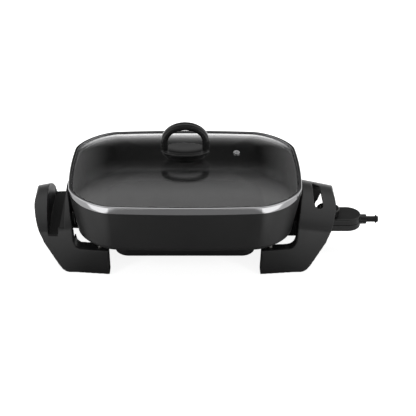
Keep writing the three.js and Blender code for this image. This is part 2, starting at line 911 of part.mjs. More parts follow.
// Left leg: a finger gap runs through from front to rear and is open over the top.
// It is drawn at the right-hand end and turned half round, so its front is towards +Y here.
function makeOpenLeg() {
  const deep = legHalfDepth + overrun;
  const floor = legZ(gripFloorDrop);
  const channel = gripChannel(0, floor);
  const above = (from, to, drop, nearY, farY) => solidOf(extrudeZ(
    rectangle(from, to, nearY, farY),
    legZ(drop),
    rimHeight + overrun,
  ));
  const inner = legX(gripInnerReach) - overrun;
  const step = legX(gripStepReach);
  const outer = legX(bulgeReach);
  return makeLeg(leftArchDrop, gripChannel(legWall, floor - legWall), [
    channel.intersect(archOver(legWall)),
    channel.intersect(above(inner, step + gap, gripStepDrop, 0, deep)),
    channel.intersect(above(step, outer, gripLipDrop, 0, deep)),
    channel.intersect(above(inner, outer, gripRearLipDrop, -deep, gap)),
    ...innerWindows(),
  ]);
}

// Openings in the skin that faces the pan, either side of the bracket
function innerWindows() {
  const near = bracketHalfWidth + windowClearance;
  const far = archHalfWidth - windowEndInset;
  return [[-far, -near], [near, far]].map(([from, to]) => solidOf(extrudeX(
    rectangle(from, to, legZ(windowFootDrop), legZ(windowDrop)),
    legX(innerFaceFootReach) - overrun,
    legX(gripInnerReach) - legWall - gap,
  )));
}

// Right leg: the top is closed but for a narrow slot, and the probe goes under it
function makeClosedLeg() {
  const radius = (slotOuterReach - slotInnerReach) / 2;
  const slot = new THREE.Shape();
  slot.moveTo(legX(slotInnerReach), slotRear);
  slot.lineTo(legX(slotInnerReach), radius - slotFront);
  slot.absarc(legX(slotInnerReach) + radius, radius - slotFront, radius, Math.PI, 2 * Math.PI);
  slot.lineTo(legX(slotRearOuterReach), slotRear - slotRearSlant);
  const half = legHalfDepth - faceDraft - legWall;
  const endOpening = extrudeX(
    rectangle(-half, half, legZ(endOpeningFootDrop), legZ(rightArchDrop)),
    legX(endOpeningReach),
    legX(bulgeReach) + overrun,
  );
  return makeLeg(rightArchDrop, null, [
    solidOf(extrudeZ(slot, legZ(slotFootDrop), rimHeight, 8)),
    solidOf(leanOutwards(endOpening, false)).intersect(archOver(legWall)),
  ]);
}

// Straight inner face of the leg, which the side bracket follows
function innerFaceAt(height) {
  const drop = rimHeight - height;
  const share = (drop - innerFaceTopDrop) / (innerFaceFootDrop - innerFaceTopDrop);
  return legX(THREE.MathUtils.lerp(innerFaceTopReach, innerFaceFootReach, share));
}

const corners = (...pairs) => pairs.map(([x, z]) => new THREE.Vector2(x, z));

function makeBracket() {
  const bottom = legZ(bracketBottomDrop);
  const top = legZ(bracketTopDrop);
  const side = gap + sideBow * (bracketHalfWidth / bandHalfWidth) ** 2;
  const block = extrudeY(corners(
    [panEndAt(bottom) + gap, bottom],
    [innerFaceAt(bottom) - side, bottom],
    [innerFaceAt(top) - side, top],
    [panEndAt(top) + gap, top],
  ), -bracketHalfWidth, bracketHalfWidth);
  const place = legZ(sideScrewDrop);
  const face = innerFaceAt(place);
  const hole = rod('x', screwHoleRadius, face - side - sideScrewBite - gap, face + overrun);
  return geometryOf(cut(
    solidOf(block),
    moved(hole, 0, sideScrewHalfSpacing, place),
    moved(hole, 0, -sideScrewHalfSpacing, place),
  ));
}

function makeSideScrew() {
  const face = innerFaceAt(legZ(sideScrewDrop));
  const away = (headRadius * (innerFaceTopReach - innerFaceFootReach))
    / (innerFaceFootDrop - innerFaceTopDrop);
  const seat = face + legWall + away + gap;
  return screw('x', seat + headHeight, face - sideScrewBite);
}

function makeSpacer() {
  const from = armTop + gap;
  const to = skirtBottom - 2 * gap;
  return turned('z', [
    [screwHoleRadius, from],
    [spacerRadius, from],
    [spacerRadius, to],
    [screwHoleRadius, to],
    [screwHoleRadius, from],
  ], 12);
}

function makeFootPad() {
  const radius = Math.min(padRadius, padWidth / 2, padLength / 2);
  return extrudeZ(roundedRectangle(padLength / 2, padWidth / 2, radius), 0, padThickness, 2);
}

// Lid: domed glass held in a channel of folded steel band
function domeHeight(share) {
  return rimHeight - glassLandDrop + (domeRise + glassLandDrop) * (1 - (1 - share) ** domePowerShare);
}

function makeGlassBlank() {
  const rings = [];
  const insets = domeStepShares.map((share) => THREE.MathUtils.lerp(glassLandInset, domeInset, share));
  domeStepShares.slice().reverse().forEach((share, place) => {
    const inset = insets[insets.length - 1 - place];
    rings.push(outlineRing(inset, domeHeight(share) - glassThickness));
  });
  const edgeTop = rimHeight - glassEdgeDrop;
  rings.push(outlineRing(glassEdgeInset + gap, edgeTop - glassThickness + gap));
  rings.push(outlineRing(glassEdgeInset, edgeTop));
  domeStepShares.forEach((share, place) => rings.push(outlineRing(insets[place], domeHeight(share))));
  return loft(rings);
}

// Height of a mesh's surface at one point of the plan, seen from above or from below
function surfaceAt(geometry, x, y, fromAbove) {
  const high = new THREE.Box3().setFromBufferAttribute(geometry.attributes.position);
  const start = new THREE.Vector3(x, y, fromAbove ? high.max.z + overrun : high.min.z - overrun);
  const way = new THREE.Vector3(0, 0, fromAbove ? -1 : 1);
  const mesh = new THREE.Mesh(geometry, new THREE.MeshBasicMaterial({ side: THREE.DoubleSide }));
  return new THREE.Raycaster(start, way).intersectObject(mesh)[0].point.z;
}

const glassBlank = makeGlassBlank();
const knobZ = surfaceAt(glassBlank, 0, 0, true);
const knobUnderZ = surfaceAt(glassBlank, 0, 0, false);

function makeGlass() {
  const knobHole = rod('z', knobHoleRadius, knobUnderZ - overrun, knobZ + overrun);
  const ventHole = rod('z', ventNeck + gap, knobUnderZ - overrun, knobZ + overrun);
  return geometryOf(cut(solidOf(glassBlank), knobHole, moved(ventHole, ventX, ventY)));
}

function makeBand() {
  const section = [
    [bandShelf - bandThickness, rimSeat - bandDropLip],
    [bandShelf - bandThickness, rimSeat],
    [0, rimSeat],
    [0, rimHeight - bandThickness],
    [bandThickness, rimHeight],
    [bandLip, rimHeight],
    [bandLip, rimHeight - bandThickness],
    [bandThickness, rimHeight - bandThickness],
    [bandThickness, rimSeat + bandThickness],
    [bandShelf, rimSeat + bandThickness],
    [bandShelf, rimSeat - bandDropLip],
  ];
  return loft(section.map(([inset, height]) => outlineRing(inset, height)), true);
}

function makeVent() {
  const slope = ventFlange * ventSlopeShare;
  const top = surfaceAt(glassBlank, ventX, ventY, true) + gap + slope;
  const under = surfaceAt(glassBlank, ventX, ventY, false) - gap - slope;
  const lip = ventFlange * ventLipShare;
  return turned('z', [
    [ventBore, under - ventFlangeHeight],
    [lip, under - ventFlangeHeight],
    [ventFlange, under],
    [ventNeck, under],
    [ventNeck, top],
    [ventFlange, top],
    [lip, top + ventFlangeHeight],
    [ventBore, top + ventFlangeHeight],
    [ventBore, under - ventFlangeHeight],
  ], 14);
}

function makeKnobSeat() {
  const foot = knobZ + gap;
  const top = foot + knobSeatHeight;
  const grow = (share) => [knobHalfLength * share, knobHalfWidth * share];
  const shell = loft([
    ovalRing(...grow(knobSeatShare), foot),
    ovalRing(...grow(knobFootShare), top),
  ]);
  return geometryOf(cut(solidOf(shell), rod('z', knobHoleRadius, foot - overrun, top + overrun)));
}

function makeKnob() {
  const foot = knobZ + knobSeatHeight + 2 * gap;
  const waist = knobZ + knobWaistRise;
  const rim = knobZ + knobRimRise;
  const floor = rim - dishDepth;
  const dish = loft([
    ovalRing(knobHalfLength * knobFootShare, knobHalfWidth * knobFootShare, foot),
    ovalRing(knobHalfLength * knobWaistShare, knobHalfWidth * knobWaistShare, waist),
    ovalRing(knobHalfLength, knobHalfWidth, rim - dishRim / 2),
    ovalRing(knobHalfLength - dishRim / 2, knobHalfWidth - dishRim / 2, rim),
    ovalRing(knobHalfLength - dishRim, knobHalfWidth - dishRim, rim),
    ovalRing(knobHalfLength * dishFloorShare, knobHalfWidth * dishFloorShare, floor + dishRim / 2),
    ovalRing(knobHalfLength * dishFloorShare / 2, knobHalfWidth * dishFloorShare / 2, floor),
  ]);
  const spring = knobZ + loopSpringRise;
  const base = rim - loopSink;
  const outer = knobHalfLength - loopBevel;
  const inner = knobHalfLength - loopThickness + loopBevel;
  const rise = loopTopRise - loopSpringRise;
  const arch = new THREE.Shape();
  arch.moveTo(outer, base);
  arch.lineTo(outer, spring);
  arch.absellipse(0, spring, outer, rise - loopBevel, 0, Math.PI);
  arch.lineTo(-outer, base);
  arch.lineTo(-inner, base);
  arch.lineTo(-inner, spring);
  arch.absellipse(0, spring, inner, rise - loopThickness + loopBevel, Math.PI, 0, true);
  arch.lineTo(inner, base);
  const depth = loopWidth - 2 * loopBevel;
  const loop = new THREE.ExtrudeGeometry(arch, {
    depth,
    bevelThickness: loopBevel,
    bevelSize: loopBevel,
    bevelSegments: 2,
    curveSegments: 14,
  });
  loop.translate(0, 0, -depth / 2).applyMatrix4(new THREE.Matrix4().makeRotationX(Math.PI / 2));
  const below = loft([
    ovalRing(knobHalfLength + overrun, knobHalfWidth + overrun, base - overrun),
    ovalRing(knobHalfLength + overrun, knobHalfWidth + overrun, waist),
  ]);
  const hole = rod('z', knobHoleRadius, foot - overrun, foot + knobScrewBite);
  const standing = solidOf(loop).subtract(solidOf(below));
  return geometryOf(cut(solidOf(dish).add(standing), hole));
}

function makeKnobWasher() {
  const top = knobUnderZ - gap;
  const bottom = top - knobWasherHeight;
  return turned('z', [
    [knobHoleRadius, bottom],
    [knobWasherRadius, bottom],
    [knobWasherRadius, top],
    [knobHoleRadius, top],
    [knobHoleRadius, bottom],
  ], 12);
}

function makeKnobScrew() {
  const seat = knobUnderZ - knobWasherHeight - 2 * gap;
  const end = knobZ + knobSeatHeight + knobScrewBite;
  return screw('z', seat - knobHeadHeight, end, {
    shank: knobShankRadius,
    head: knobHeadRadius,
    height: knobHeadHeight,
  });
}

// Probe housing: a D in plan, in two shells that part at the axis of the cord
function housingPlan(inset) {
  const half = housingHalfWidth - inset;
  const centre = housingTipX - housingHalfWidth;
  const shape = new THREE.Shape();
  shape.moveTo(housingBackX + inset, -half);
  shape.lineTo(centre, -half);
  shape.absarc(centre, 0, half, -Math.PI / 2, Math.PI / 2);
  shape.lineTo(housingBackX + inset, half);
  return shape;
}

const housingTop = axisZ + housingAbove;
const housingBottom = axisZ - housingBelow;
const housingScrews = [housingScrewBackX, housingScrewTipX];

function housingShell(from, to, roundsUp) {
  const ringAt = (inset, height) => housingPlan(inset).getPoints(8)
    .map((point) => new THREE.Vector3(point.x, point.y, height));
  const slope = housingRound * (1 - Math.SQRT1_2);
  const rings = roundsUp
    ? [[0, from], [0, to - housingRound], [slope, to - slope], [housingRound, to]]
    : [[housingRound, from], [slope, from + slope], [0, from + housingRound], [0, to]];
  return solidOf(centredLoft(rings.map(([inset, height]) => ringAt(inset, height))));
}

// A loft whose end caps close on the middle of the housing instead of the origin
function centredLoft(rings) {
  const middle = (housingBackX + housingTipX) / 2;
  const near = rings.map((ring) => ring.map((point) => point.clone().setX(point.x - middle)));
  return loft(near).translate(middle, 0, 0);
}

function makeUpperHousing() {
  const split = axisZ + gap / 2;
  const inside = extrudeZ(housingPlan(housingWall), split - overrun, housingTop - housingWall, 8);
  const collar = rod('x', collarRadius, housingTipX - housingHalfWidth / 2, collarEndX, 24);
  const post = rod('z', housingPost, split, housingTop - housingWall / 2, 12);
  const hole = rod('z', screwHoleRadius, split - overrun, housingTop - housingWall, 12);
  const cordHole = rod('x', reliefRadius + gap, reliefInnerX - overrun, collarEndX + overrun, 20);
  const flangeRoom = rod(
    'x',
    reliefFlangeRadius + gap,
    reliefInnerX - overrun,
    reliefInnerX + reliefFlange + gap,
    20,
  );
  const under = extrudeZ(
    rectangle(housingBackX - overrun, collarEndX + overrun, -housingHalfWidth, housingHalfWidth),
    axisZ - housingHalfWidth,
    split,
  );
  let shell = join(housingShell(split, housingTop, true), moved(collar, 0, 0, axisZ));
  shell = cut(shell, inside);
  shell = join(shell, ...housingScrews.map((x) => moved(post, x, 0)));
  return geometryOf(cut(
    shell,
    under,
    moved(cordHole, 0, 0, axisZ),
    moved(flangeRoom, 0, 0, axisZ),
    ...housingScrews.map((x) => moved(hole, x, 0)),
    moved(rod('z', dialShaftRadius + gap, axisZ, housingTop + overrun), dialX, 0),
  ));
}

function makeLowerHousing() {
  const split = axisZ - gap / 2;
  const inside = extrudeZ(housingPlan(housingWall), housingBottom + housingWall, split + overrun, 8);
  const collar = rod('x', collarRadius, housingTipX - housingHalfWidth / 2, collarEndX, 24);
  const post = rod('z', headRadius + housingWall, housingBottom + housingWall / 2, split, 12);
  const headRoom = rod(
    'z',
    headRadius + gap,
    housingBottom - overrun,
    housingBottom + headHeight + housingWall,
    14,
  );
  const hole = rod('z', screwHoleRadius, housingBottom - overrun, split + overrun, 12);
  const cordHole = rod('x', reliefRadius + gap, reliefInnerX - overrun, collarEndX + overrun, 20);
  const flangeRoom = rod(
    'x',
    reliefFlangeRadius + gap,
    reliefInnerX - overrun,
    reliefInnerX + reliefFlange + gap,
    20,
  );
  const above = extrudeZ(
    rectangle(housingBackX - overrun, collarEndX + overrun, -housingHalfWidth, housingHalfWidth),
    split,
    axisZ + housingHalfWidth,
  );
  const nose = extrudeX(
    rectangle(-noseHalfWidth, noseHalfWidth, axisZ - noseHalfHeight, axisZ + noseHalfHeight),
    noseX,
    housingBackX - gap,
  );
  const tongue = extrudeX(
    rectangle(-noseHalfWidth, noseHalfWidth, axisZ - noseHalfHeight, split),
    housingBackX - overrun,
    housingBackX + housingWall,
  );
  const contactHole = rod('x', contactRadius + gap, noseX - overrun, noseX + contactLength + gap);
  const sensorHole = rod('x', sensorRadius + gap, noseX - overrun, noseX + sensorSeat + gap);
  let shell = join(housingShell(housingBottom, split, false), moved(collar, 0, 0, axisZ));
  shell = cut(shell, inside, above);
  shell = join(shell, ...housingScrews.map((x) => moved(post, x, 0)), nose, tongue);
  return geometryOf(cut(
    shell,
    moved(cordHole, 0, 0, axisZ),
    moved(flangeRoom, 0, 0, axisZ),
    moved(contactHole, 0, pinHalfSpacing, axisZ),
    moved(contactHole, 0, -pinHalfSpacing, axisZ),
    moved(sensorHole, 0, 0, axisZ),
    ...housingScrews.map((x) => moved(headRoom, x, 0)),
    ...housingScrews.map((x) => moved(hole, x, 0)),
  ));
}

function makeContact() {
  return turned('x', [
    [contactBore, noseX + gap],
    [contactRadius, noseX + gap],
    [contactRadius, noseX + contactLength],
    [contactBore, noseX + contactLength],
    [contactBore, noseX + gap],
  ], 12);
}

function makeSensor() {
  const round = sensorRadius / 2;
  return turned('x', [
    [0, sensorTipX],
    [round, sensorTipX],
    [sensorRadius, sensorTipX + round],
    [sensorRadius, noseX + sensorSeat],
    [0, noseX + sensorSeat],
  ], 10);
}

function makeRelief() {
  const ringEnd = reliefRingX + reliefRingLength;
  return turned('x', [
    [0, reliefInnerX],
    [reliefFlangeRadius, reliefInnerX],
    [reliefFlangeRadius, reliefInnerX + reliefFlange],
    [reliefRadius, reliefInnerX + reliefFlange],
    [reliefRadius, reliefRingX],
    [reliefRingRadius, reliefRingX],
    [reliefRingRadius, ringEnd],
    [reliefRadius, ringEnd],
    [reliefRadius, reliefEndX],
    [cordBore, reliefEndX],
    [cordBore, reliefEndX - cordBoreDepth],
    [0, reliefEndX - cordBoreDepth],
  ], 16);
}

function makeHousingScrew() {
  const seat = housingBottom + headHeight + housingWall - gap;
  return screw('z', seat - headHeight, axisZ + housingAbove / 2);
}

// Dial with a fluted edge and an index notch, on a shaft that ends in a collar under the cover
function makeDial() {
  const points = [];
  for (let step = 0; step < 2 * dialFlutes; step += 1) {
    const angle = (Math.PI * step) / dialFlutes;
    const radius = dialRadius - dialBevel - (step % 2 ? fluteDepth : 0);
    points.push(new THREE.Vector2(radius * Math.cos(angle), radius * Math.sin(angle)));
  }
  const disc = new THREE.ExtrudeGeometry(new THREE.Shape(points), {
    depth: dialHeight - 2 * dialBevel,
    bevelThickness: dialBevel,
    bevelSize: dialBevel,
    bevelSegments: 1,
  });
  const foot = housingTop + dialClearance;
  disc.translate(0, 0, foot + dialBevel);
  const shaftRoom = rod('z', dialShaftRadius + gap, foot - overrun, foot + dialShaftAbove + gap);
  const notch = extrudeZ(
    rectangle(-notchWidth / 2, notchWidth / 2, dialRadius - dialBevel - notchLength, dialRadius),
    foot + dialHeight - notchDepth,
    foot + dialHeight + overrun,
  );
  return moved(geometryOf(cut(solidOf(disc), shaftRoom, notch)), dialX, 0);
}

function makeDialShaft() {
  const foot = housingTop + dialClearance;
  const collarTop = housingTop - housingWall - gap;
  const shaft = turned('z', [
    [0, collarTop - dialShaftBelow],
    [dialShaftRadius, collarTop - dialShaftBelow],
    [dialShaftRadius, collarTop - housingWall],
    [dialShaftRadius + housingWall, collarTop - housingWall],
    [dialShaftRadius + housingWall, collarTop],
    [dialShaftRadius, collarTop],
    [dialShaftRadius, foot + dialShaftAbove],
    [0, foot + dialShaftAbove],
  ], 12);
  return moved(shaft, dialX, 0);
}

// Finishes
const finishes = {
  enamel: { color: 0x232323, roughness: 0.45, metalness: 0.1 },
  legPlastic: { color: 0x262626, roughness: 0.5, metalness: 0 },
  probePlastic: { color: 0x1a1a1a, roughness: 0.4, metalness: 0 },
  knobPlastic: { color: 0x141414, roughness: 0.3, metalness: 0 },
  rubber: { color: 0x1c1c1c, roughness: 0.85, metalness: 0 },
  steel: { color: 0xc8c8c8, roughness: 0.25, metalness: 1 },
  zincSteel: { color: 0xb4b4ac, roughness: 0.4, metalness: 1 },
  darkSteel: { color: 0x2a2a2c, roughness: 0.5, metalness: 0.8 },
  sheath: { color: 0x4c4a48, roughness: 0.6, metalness: 0.7 },
  brass: { color: 0xb08d4a, roughness: 0.35, metalness: 1 },
  glass: { color: 0xc8d0d0, roughness: 0.05, metalness: 0, transparent: true, opacity: 0.3 },
};

const skillet = new THREE.Group();
const frame = new THREE.Group();
const lid = new THREE.Group();
const probe = new THREE.Group();
skillet.add(frame, lid, probe);
skillet.position.x = centreShift;

function addPiece(group, name, geometry, finish, place = {}) {
  const mesh = new THREE.Mesh(geometry, new THREE.MeshStandardMaterial(finishes[finish]));
  mesh.name = name;
  mesh.position.set(place.x ?? 0, place.y ?? 0, place.z ?? 0);
  mesh.rotation.z = place.turn ?? 0;
  group.add(mesh);
}

// Pan, heating and casing
addPiece(frame, 'pan_body', makePan(), 'enamel');
addPiece(frame, 'base_casing', makeTray(), 'darkSteel');
addPiece(frame, 'heating_element', makeElement(), 'sheath');
addPiece(frame, 'socket_guard', makeGuard(), 'legPlastic');
for (const [side, way] of [['front', -1], ['rear', 1]]) {
  addPiece(frame, `contact_pin_${side}`, makePin(), 'zincSteel', { y: way * pinHalfSpacing, z: axisZ });
  const guardScrew = screw(
    'z',
    skirtBottom - 2 * gap - guardEarThickness - headHeight,
    skirtBottom + screwBite,
  );
  addPiece(frame, `guard_screw_${side}`, guardScrew, 'zincSteel', { x: guardEarX, y: way * guardScrewY });
}
for (const [side, way] of [['left', -1], ['right', 1]]) {
  const casingScrew = screw('z', trayBottom() - gap - headHeight, trayFloorTop() + screwBite);
  addPiece(frame, `casing_screw_${side}`, casingScrew, 'zincSteel', { x: way * trayScrewX });
}

// Legs and what holds them
addPiece(frame, 'leg_left', makeOpenLeg(), 'legPlastic', { turn: Math.PI });
addPiece(frame, 'leg_right', makeClosedLeg(), 'legPlastic');
for (const [x, y, corner] of spacerPlaces()) {
  addPiece(frame, `spacer_${corner}`, makeSpacer(), 'zincSteel', { x, y });
  const legScrew = screw('z', armTop - legWall - gap - headHeight, skirtBottom + screwBite);
  addPiece(frame, `leg_screw_${corner}`, legScrew, 'zincSteel', { x, y });
  const padX = Math.sign(x) * legX(padReach);
  const padY = Math.sign(y) * ((legHalfDepth + archHalfWidth) / 2) * slantAt(padReach);
  addPiece(frame, `foot_pad_${corner}`, makeFootPad(), 'rubber', { x: padX, y: padY });
}
for (const [side, turn] of [['left', Math.PI], ['right', 0]]) {
  addPiece(frame, `side_bracket_${side}`, makeBracket(), 'darkSteel', { turn });
  for (const [end, way] of [['front', -1], ['rear', 1]]) {
    const place = { y: way * sideScrewHalfSpacing, z: legZ(sideScrewDrop), turn };
    addPiece(frame, `side_screw_${side}_${end}`, makeSideScrew(), 'zincSteel', place);
  }
}

// Lid
addPiece(lid, 'lid_glass', makeGlass(), 'glass');
addPiece(lid, 'lid_band', makeBand(), 'steel');
addPiece(lid, 'vent_eyelet', makeVent(), 'steel', { x: ventX, y: ventY });
addPiece(lid, 'knob_seat', makeKnobSeat(), 'knobPlastic');
addPiece(lid, 'knob_handle', makeKnob(), 'knobPlastic');
addPiece(lid, 'knob_washer', makeKnobWasher(), 'rubber');
addPiece(lid, 'knob_screw', makeKnobScrew(), 'steel');

// Probe
addPiece(probe, 'probe_upper_housing', makeUpperHousing(), 'probePlastic');
addPiece(probe, 'probe_lower_housing', makeLowerHousing(), 'probePlastic');
addPiece(probe, 'sensor_rod', makeSensor(), 'zincSteel', { z: axisZ });
addPiece(probe, 'strain_relief', makeRelief(), 'rubber', { z: axisZ });
for (const [side, way] of [['front', -1], ['rear', 1]]) {
  addPiece(probe, `contact_sleeve_${side}`, makeContact(), 'brass', { y: way * pinHalfSpacing, z: axisZ });
}
addPiece(probe, 'housing_screw_inner', makeHousingScrew(), 'zincSteel', { x: housingScrewBackX });
addPiece(probe, 'housing_screw_outer', makeHousingScrew(), 'zincSteel', { x: housingScrewTipX });
addPiece(probe, 'temperature_dial', makeDial(), 'probePlastic');
addPiece(probe, 'dial_shaft', makeDialShaft(), 'zincSteel');

export default skillet;
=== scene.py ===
import math

import bmesh
import bpy
from mathutils import Matrix, Vector


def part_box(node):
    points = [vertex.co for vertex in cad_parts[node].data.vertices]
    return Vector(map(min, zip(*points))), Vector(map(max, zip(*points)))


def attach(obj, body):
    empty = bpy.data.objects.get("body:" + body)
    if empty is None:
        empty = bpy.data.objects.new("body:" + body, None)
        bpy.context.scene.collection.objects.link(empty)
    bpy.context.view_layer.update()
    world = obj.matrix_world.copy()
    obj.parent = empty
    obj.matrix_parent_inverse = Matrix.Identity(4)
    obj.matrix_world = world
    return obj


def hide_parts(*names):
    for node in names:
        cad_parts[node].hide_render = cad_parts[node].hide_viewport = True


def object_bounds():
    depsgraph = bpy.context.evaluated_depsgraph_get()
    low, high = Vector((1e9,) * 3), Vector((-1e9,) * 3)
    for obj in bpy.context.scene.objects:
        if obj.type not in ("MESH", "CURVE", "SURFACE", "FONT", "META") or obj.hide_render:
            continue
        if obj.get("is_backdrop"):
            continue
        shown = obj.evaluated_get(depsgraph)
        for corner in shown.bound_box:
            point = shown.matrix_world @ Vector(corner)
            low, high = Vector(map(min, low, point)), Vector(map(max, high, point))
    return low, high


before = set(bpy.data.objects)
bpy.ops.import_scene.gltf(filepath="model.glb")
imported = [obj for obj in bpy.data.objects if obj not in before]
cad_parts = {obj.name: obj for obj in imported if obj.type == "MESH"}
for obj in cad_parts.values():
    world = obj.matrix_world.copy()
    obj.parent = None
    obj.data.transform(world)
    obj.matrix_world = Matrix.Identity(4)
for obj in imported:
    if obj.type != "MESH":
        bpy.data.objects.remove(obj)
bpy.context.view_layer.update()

# The view: a product shot from a little above, with the pan's middle left of the picture's.
# The lens is long, so the far side of the pan is hardly smaller than the near one.
mm = 0.001
picture_pixels, lens_pixels, pan_middle_pixel = 416, 1201, 185.1
camera_back, camera_above, camera_tilt, film_width = 1862, 944.7, 28.85, 36


# The lowest and the highest place of a node along one axis, in millimetres
def ends(node, axis):
    return [getattr(corner, axis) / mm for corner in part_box(node)]


def middle(node, axis):
    return sum(ends(node, axis)) / 2


def new_object(name, data):
    made = bpy.data.objects.new(name, data)
    bpy.context.collection.objects.link(made)
    return made


pan_x = middle("lid_band", "x")
camera = new_object("camera", bpy.data.cameras.new("camera"))
camera.location = (pan_x * mm, -camera_back * mm, (ends("lid_band", "z")[1] + camera_above) * mm)
camera.rotation_euler = (math.radians(90 - camera_tilt), 0, 0)
camera.data.sensor_width = film_width
camera.data.lens = film_width * lens_pixels / picture_pixels
camera.data.shift_x = (picture_pixels / 2 - pan_middle_pixel) / picture_pixels
camera.data.clip_end = 50
bpy.context.scene.camera = camera

# The studio: a flat white floor, one broad soft lamp overhead and two strips beside the camera.
# Mirrored rays miss the lamps and see a room of bright and dark bands instead. The floor keeps
# a faint shadow.
bpy.context.scene.view_settings.view_transform = "Standard"


def add(tree, kind, *inputs, **settings):
    made = tree.nodes.new(kind)
    for setting, value in settings.items():
        setattr(made, setting, value)
    for place, value in enumerate(inputs):
        if isinstance(value, bpy.types.NodeSocket):
            tree.links.new(value, made.inputs[place])
        elif value is not None:
            made.inputs[place].default_value = value
    return made


def calc(tree, operation, *inputs):
    return add(tree, "ShaderNodeMath", *inputs, operation=operation).outputs[0]


def mapped(tree, value, low, high, to_low=0.0, to_high=1.0):
    return add(tree, "ShaderNodeMapRange", value, low, high, to_low, to_high).outputs[0]


# Rays from the camera, straight or through clear glass, that nothing has mirrored
def plain_rays(tree, rays):
    unmirrored = calc(tree, "LESS_THAN", rays["Glossy Depth"], 0.5)
    through = calc(tree, "MULTIPLY", rays["Is Transmission Ray"], unmirrored)
    return calc(tree, "MAXIMUM", rays["Is Camera Ray"], through)


world = bpy.data.worlds.new("white room")
bpy.context.scene.world = world
world.use_nodes = True
room = world.node_tree
room.nodes.clear()
rays = add(room, "ShaderNodeLightPath").outputs
toward = add(room, "ShaderNodeSeparateXYZ", add(room, "ShaderNodeTexCoord").outputs["Generated"])
turn_over = calc(room, "ARCTAN2", toward.outputs["Z"], toward.outputs["Y"])
ramp_node = add(room, "ShaderNodeValToRGB", calc(room, "DIVIDE", turn_over, math.pi))
ramp = ramp_node.color_ramp
ramp.interpolation = "B_SPLINE"
# Degrees up from the horizon behind the pan, over the top and down to the camera, with a tone
room_tones = (
    (0, 0.9), (4, 0.55), (8, 0.32), (13, 0.16), (18, 0.04), (24, 0.0), (30, 0.07), (36, 0.26),
    (45, 0.62), (56, 1.05), (70, 1.15), (94, 1.15), (114, 0.3), (140, 0.1), (172, 0.3),
)
for place, (degrees, tone) in enumerate(room_tones):
    stop = ramp.elements[place] if place < 2 else ramp.elements.new(degrees / 180)
    stop.position = degrees / 180
    stop.color = (tone, tone, tone, 1)
side_from, side_to, side_tone, fill_tone = 0.16, 0.6, 0.62, 0.3
mirrors = calc(room, "MAXIMUM", rays["Is Glossy Ray"], rays["Is Transmission Ray"])
off_side = calc(room, "ABSOLUTE", toward.outputs["X"])
side_glow = mapped(room, off_side, side_from, side_to, 0.0, side_tone)
glossy = calc(room, "MULTIPLY", mirrors, calc(room, "MAXIMUM", ramp_node.outputs[0], side_glow))
diffuse = calc(room, "MULTIPLY", calc(room, "SUBTRACT", 1, mirrors), fill_tone)
strength = calc(room, "MAXIMUM", plain_rays(room, rays), calc(room, "ADD", glossy, diffuse))
light = add(room, "ShaderNodeBackground", (1, 1, 1, 1), strength)
add(room, "ShaderNodeOutputWorld", light.outputs[0])

# In mirrors the floor is dark, but for a stretch behind the pan and, at each side, one in front.
# These are the places in metres where it turns from dark to bright, and then the tones.
beside, before, beyond = (0.18, 0.235), (-0.19, -0.21), (0.1, 0.4)
before_tone, mirrored_tone, watched_tone = 0.3, 0.88, 0.86
white_tone, dark_tone, dark_share = 0.7, 0.1, 0.75
floor_finish = bpy.data.materials.new("white_floor")
floor_finish.use_nodes = True
paper = floor_finish.node_tree
paper.nodes.clear()
rays = add(paper, "ShaderNodeLightPath").outputs
spot = add(paper, "ShaderNodeSeparateXYZ", add(paper, "ShaderNodeTexCoord").outputs["Object"])
aside = calc(paper, "ABSOLUTE", calc(paper, "SUBTRACT", spot.outputs["X"], pan_x * mm))
sides = mapped(paper, aside, *beside)
near = mapped(paper, spot.outputs["Y"], *before, before_tone)
behind = mapped(paper, spot.outputs["Y"], *beyond)
bright = calc(paper, "MAXIMUM", calc(paper, "MULTIPLY", sides, near), behind)
mirrored = calc(paper, "MULTIPLY", rays["Is Glossy Ray"], bright)
mirrored = calc(paper, "MULTIPLY", mirrored, mirrored_tone)
watched = calc(paper, "MULTIPLY", plain_rays(paper, rays), watched_tone)
glow = add(paper, "ShaderNodeEmission", (1, 1, 1, 1), calc(paper, "MAXIMUM", watched, mirrored))
dimmed = calc(paper, "MULTIPLY", rays["Is Glossy Ray"], calc(paper, "SUBTRACT", 1, bright))
white, dark = (
    add(paper, "ShaderNodeBsdfDiffuse", (tone, tone, tone, 1), 0.0).outputs[0]
    for tone in (white_tone, dark_tone)
)
dimmed = calc(paper, "MULTIPLY", dimmed, dark_share)
ground = add(paper, "ShaderNodeMixShader", dimmed, white, dark)
lit = add(paper, "ShaderNodeAddShader", ground.outputs[0], glow.outputs[0])
add(paper, "ShaderNodeOutputMaterial", lit.outputs[0])

floor_reach = 6.0
floor_mesh = bpy.data.meshes.new("floor")
floor_corners = [
    (x * floor_reach, y * floor_reach, 0) for x, y in ((-1, -1), (1, -1), (1, 1), (-1, 1))
]
floor_mesh.from_pydata(floor_corners, [], [(0, 1, 2, 3)])
floor_mesh.materials.append(floor_finish)
floor = new_object("floor", floor_mesh)
floor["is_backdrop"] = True

lamp_aim = Vector((pan_x * mm, 0, 0.1))
for lamp_name, across, back, up, width, height, power in (
    ("overhead", 0, 0.35, 2.1, 2.2, 1.5, 30),
    ("strip_left", -1.5, -1.35, 0.75, 0.35, 1.3, 7),
    ("strip_right", 1.5, -1.35, 0.75, 0.35, 1.3, 7),
):
    lamp = new_object(lamp_name, bpy.data.lights.new(lamp_name, "AREA"))
    lamp.data.shape = "RECTANGLE"
    lamp.data.size = width
    lamp.data.size_y = height
    lamp.data.energy = power
    lamp.location = (pan_x * mm + across, back, up)
    lamp.rotation_euler = (lamp_aim - lamp.location).to_track_quat("-Z", "Y").to_euler()
    lamp.visible_glossy = False
    lamp.visible_transmission = False

